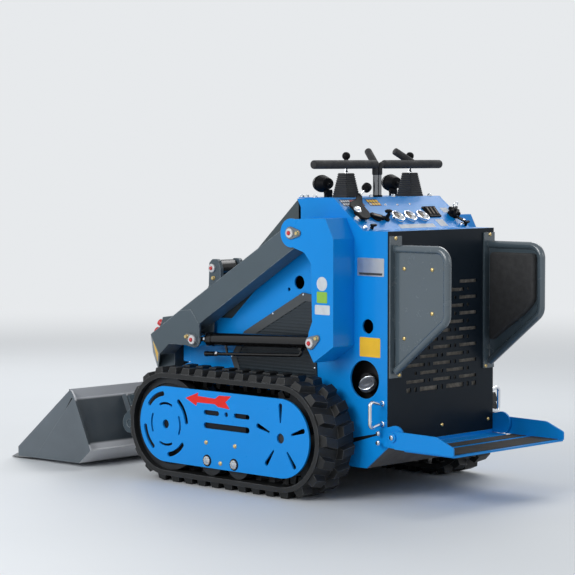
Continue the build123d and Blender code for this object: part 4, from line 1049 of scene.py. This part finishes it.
def pin_end(x, y, z, sign, turn, reach=38.0, size=23.0):
    """Keeper plate, pin head with its ring and red cap, and the keeper's bolt."""
    place = on_side(x, y, z, sign)
    keeper = place @ spin(turn)
    slab(keeper, teardrop(size, 12, reach), 0, 6, 0, 1.0)
    turned(place, [(17, 6), (17, 10), (15.5, 11.5), (0, 11.5)], 32, 1)
    turned(place, [(8, 11.5), (8, 14), (6, 16.5), (0, 17)], 20, 2)
    hex_bolt(keeper @ moved(reach, 0, 6), 13, 9, 3)


lift_x, lift_z = joint_spot("lift_arms_pivot")
base_x, base_z = joint_spot("lift_barrel_left_turn")
pin_finishes = (keeper_steel, ring_white, cap_red, yellow_zinc)
for side, sign in sides():
    pin_end(lift_x, tower_face, lift_z, sign, 0.0 if sign > 0 else pi)
    pin_end(base_x, tower_face, base_z, sign, radians(30 if sign > 0 else 150))
    keep("tower_pins_" + side, "machine", *pin_finishes, slot="chrome")

label_green = printed("label_green", (0.25, 0.50, 0.05), coat=0.2, patch=0.05, patch_size=0.05)
turned(on_side(-416, tower_face, 766, 1), [(25, -0.2), (25, 0.6), (0, 0.6)], 40)
label(-416, tower_face, 718, 50, 40, 1)
label(-418, tower_face, 674, 72, 34, 0)
keep("tower_stickers", "machine", white_print, label_green, slot="blue_paint", smooth=0)

# ---------------------------------------------------------------- lift arms
# Welded box-section arms, cross member and drop legs in slate grey satin paint. A plate doubles
# each arm's front, and a gusset with a bare yellow patch joins it to the leg inside.
dress(slate_paint, *pair("lift_arm"), "arm_cross_member")
rod_x, rod_z = 257.6, 528.2
plate_lift = 5
arm_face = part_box("lift_arm_left")[1].y / MM - plate_lift
front_plate = [(274, 640.5), (228, 587), (229, 528), (240, 506), (265, 499.5), (304, 504.5), (395, 503.5),
               (450.5, 459.5), (499, 534), (334.6, 635)]
arm_corner, arm_heel = Vector((499.6, 388, 534.5)), Vector((450.9, 388, 458.4))
leg_heel, leg_corner = Vector((545.6, 308, 391)), Vector((575, 308, 455))
whole_face = [(0, 0), (1, 0), (1, 1), (0, 1)]
patch_face = [(0.06, 0.30), (0.62, 0.30), (0.62, 0.88), (0.06, 0.88)]
gusset_out = (arm_heel - arm_corner).cross(leg_heel - arm_corner).normalized()
if gusset_out.x < 0:
    gusset_out = -gusset_out
for side, sign in sides():
    pin_end(rod_x, arm_face + plate_lift, rod_z, sign, radians(20 if sign < 0 else 160), 30, 20)
    keep("arm_pins_" + side, "lift_arms", *pin_finishes, slot="chrome")
for side, sign in sides():
    side_slab(front_plate, arm_face, sign, -0.5, 1.6, 0, 0.8)
    keep("arm_front_plate_" + side, "lift_arms", slate_paint, slot="charcoal_paint", smooth=0)
    for shares, low, high, finish in ((whole_face, -4, 0, 0), (patch_face, 0, 0.7, 1)):
        face = [arm_corner.lerp(leg_corner, u).lerp(arm_heel.lerp(leg_heel, u), v) for u, v in shares]
        spots = [corner + gusset_out * depth for depth in (low, high) for corner in face]
        faces = [[3, 2, 1, 0], [4, 5, 6, 7]] + [[i, (i + 1) % 4, 4 + (i + 1) % 4, 4 + i] for i in range(4)]
        put([at(spot.x, sign * spot.y, spot.z) / MM for spot in spots], faces, Matrix(), finish)
    keep("arm_gusset_" + side, "lift_arms", slate_paint, label_yellow, slot="charcoal_paint", smooth=0)

# the tilt cylinder's upper pin, and the couplers of the auxiliary hoses
tilt_x, tilt_z = joint_spot("tilt_barrel_turn")
ear_out = 66
for sign in (1, -1):
    place = on_side(tilt_x, ear_out, tilt_z, sign)
    turned(place, [(17, 0), (17, 6), (15, 7.5), (0, 7.5)], 30, 1)
    turned(place, [(8, 7.5), (8, 10), (6, 12), (0, 12.5)], 20, 2)
    hex_bolt(on_side(486, ear_out, 737, sign), 14, 8, 3)
keep("tilt_pin_caps", "lift_arms", *pin_finishes, slot="chrome")
for x, z in ((546, 566), (564, 534)):
    coupler = looking(at(x, 285, z), (0.75, 0.2, 0.45))
    turned(coupler, [(12, -26), (12, -4), (10, -2), (10, 0)], 28, 1)
    turned(coupler, [(13, 0), (13.5, 4), (13.5, 14), (12, 16), (0, 16)], 28)
keep("hydraulic_couplers", "lift_arms", cap_red, bright_zinc, slot="chrome")

# ---------------------------------------------------------------- cylinders
# Black painted barrels and chromed rods. A black return pipe with a riser and a union runs along
# the underside of each lift cylinder.
cylinder_paint = surface(
    "cylinder_paint", (0.0035, 0.0032, 0.0034), 0.20, specular=0.35, coat=0.25, coat_roughness=0.05,
    grain=0.003, grain_depth=0.00004)
dress(cylinder_paint, *pair("lift_barrel"), "tilt_barrel")
dress(chrome, *pair("lift_rod"), "tilt_rod")
barrel_low, barrel_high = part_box("lift_barrel_left")
barrel_y = (barrel_low.y + barrel_high.y) / 2 / MM
for side, sign in sides():
    y = sign * barrel_y
    run_tube([(-264, y, 532), (-262, y, 499), (206, y, 475)], 6.5, 16, "return_pipe_" + side,
             "lift_barrel_" + side, cylinder_paint, "black_paint", False)
    hex_bolt(looking(at(-264, y, 527), (0, 0, -1), (1, 0, 0)), 20, 10, 0, 0)
    riser = looking(at(118, y, 474), (0.25, 0, 1))
    turned(riser, [(5, 0), (5, 34), (7, 34), (7, 42), (0, 42)], 20)
    union = looking(at(170, y, 477), (1, 0, -0.05))
    turned(union, [(8, 0), (9.5, 2), (9.5, 20), (8, 22), (0, 22)], 6, 1)
    turned(union, [(9, 20), (9, 54), (10, 55), (10, 66), (8, 68), (0, 68)], 20)
    keep("pipe_unions_" + side, "lift_barrel_" + side, cylinder_paint, chrome, slot="black_paint")

# the rods' shafts run on inside the barrels, far enough to stay in them at full stroke
for name, start, end, radius in (("lift_rod_left", 140, 585, 13.9), ("lift_rod_right", 140, 585, 13.9),
                                 ("tilt_rod", 142, 425, 15.9)):
    foot = Vector(joints[name.replace("rod", "barrel") + "_turn"]["pos_m"])
    along = Vector(joints[name + "_slide"]["axis"])
    turned(looking(foot + along * start * MM, along, (0, 1, 0)),
           [(0, 0), (radius, 0), (radius, end - start), (0, end - start)], 32)
    keep(name + "_shaft", name, chrome, slot="chrome")

# ---------------------------------------------------------------- bucket and hitch
# Bent and welded bucket: slate grey cheeks with dark seams and pale edges that are partly wear and partly
# painted highlight, a back painted darker as a dark reflection, and a sole and upper edge scoured bright. It
# has a bare cutting edge and hangs on a quick-attach plate.
bucket_paint = surface(
    "bucket_paint", (0.105, 0.128, 0.148), 0.38, coat=0.2, coat_roughness=0.2, patch=0.12, patch_size=0.25,
    spread=0.14, grain=0.003, grain_depth=0.00012, edge=0.0025, edge_colour=(0.33, 0.34, 0.35),
    edge_part=0.7)
tree = bucket_paint.node_tree
spots = tree.nodes.new("ShaderNodeTexCoord").outputs
height = add_node(tree, "SeparateXYZ", Vector=spots["Object"]).outputs["Z"]
sideways = maths(tree, "ABSOLUTE", add_node(tree, "SeparateXYZ", Vector=spots["Normal"]).outputs["Y"])
# every face that does not face sideways gets the dark colour: a painted dark reflection
across_face = maths(tree, "LESS_THAN", sideways, 0.5)
lip = ranged(tree, height, 0.255, 0.266, curve="SMOOTHSTEP")
heel = ranged(tree, height, 0.098, 0.088, curve="SMOOTHSTEP")
paint = tree.nodes["Principled BSDF"].inputs["Base Color"]
cheek_colour = paint.links[0].from_socket
worn = maths(tree, "MAXIMUM", lip, heel)
back = mix_colour(tree, worn, (0.043, 0.056, 0.068, 1.0), (0.62, 0.63, 0.66, 1.0))
tree.links.new(mix_colour(tree, across_face, cheek_colour, back), paint)
dress(bucket_paint, "bucket")
dress(hoop_paint, "hitch_plate")
seam = [(842, 269), (850, 269), (1043.5, 15), (1035.5, 15)]
seam_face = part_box("bucket")[1].y / MM - 2
for side, sign in sides():
    side_slab(seam, seam_face, sign, -0.2, 1.4)
keep("cheek_seams", "attachment", frame_paint, slot="charcoal_paint", smooth=0)
worn_steel = surface(
    "worn_steel", (0.27, 0.275, 0.28), 0.40, metal=0.75, patch=0.2, patch_size=0.12, spread=0.2,
    grain=0.0024, grain_depth=0.00015, edge=0.002)
dress(worn_steel, "cutting_edge")
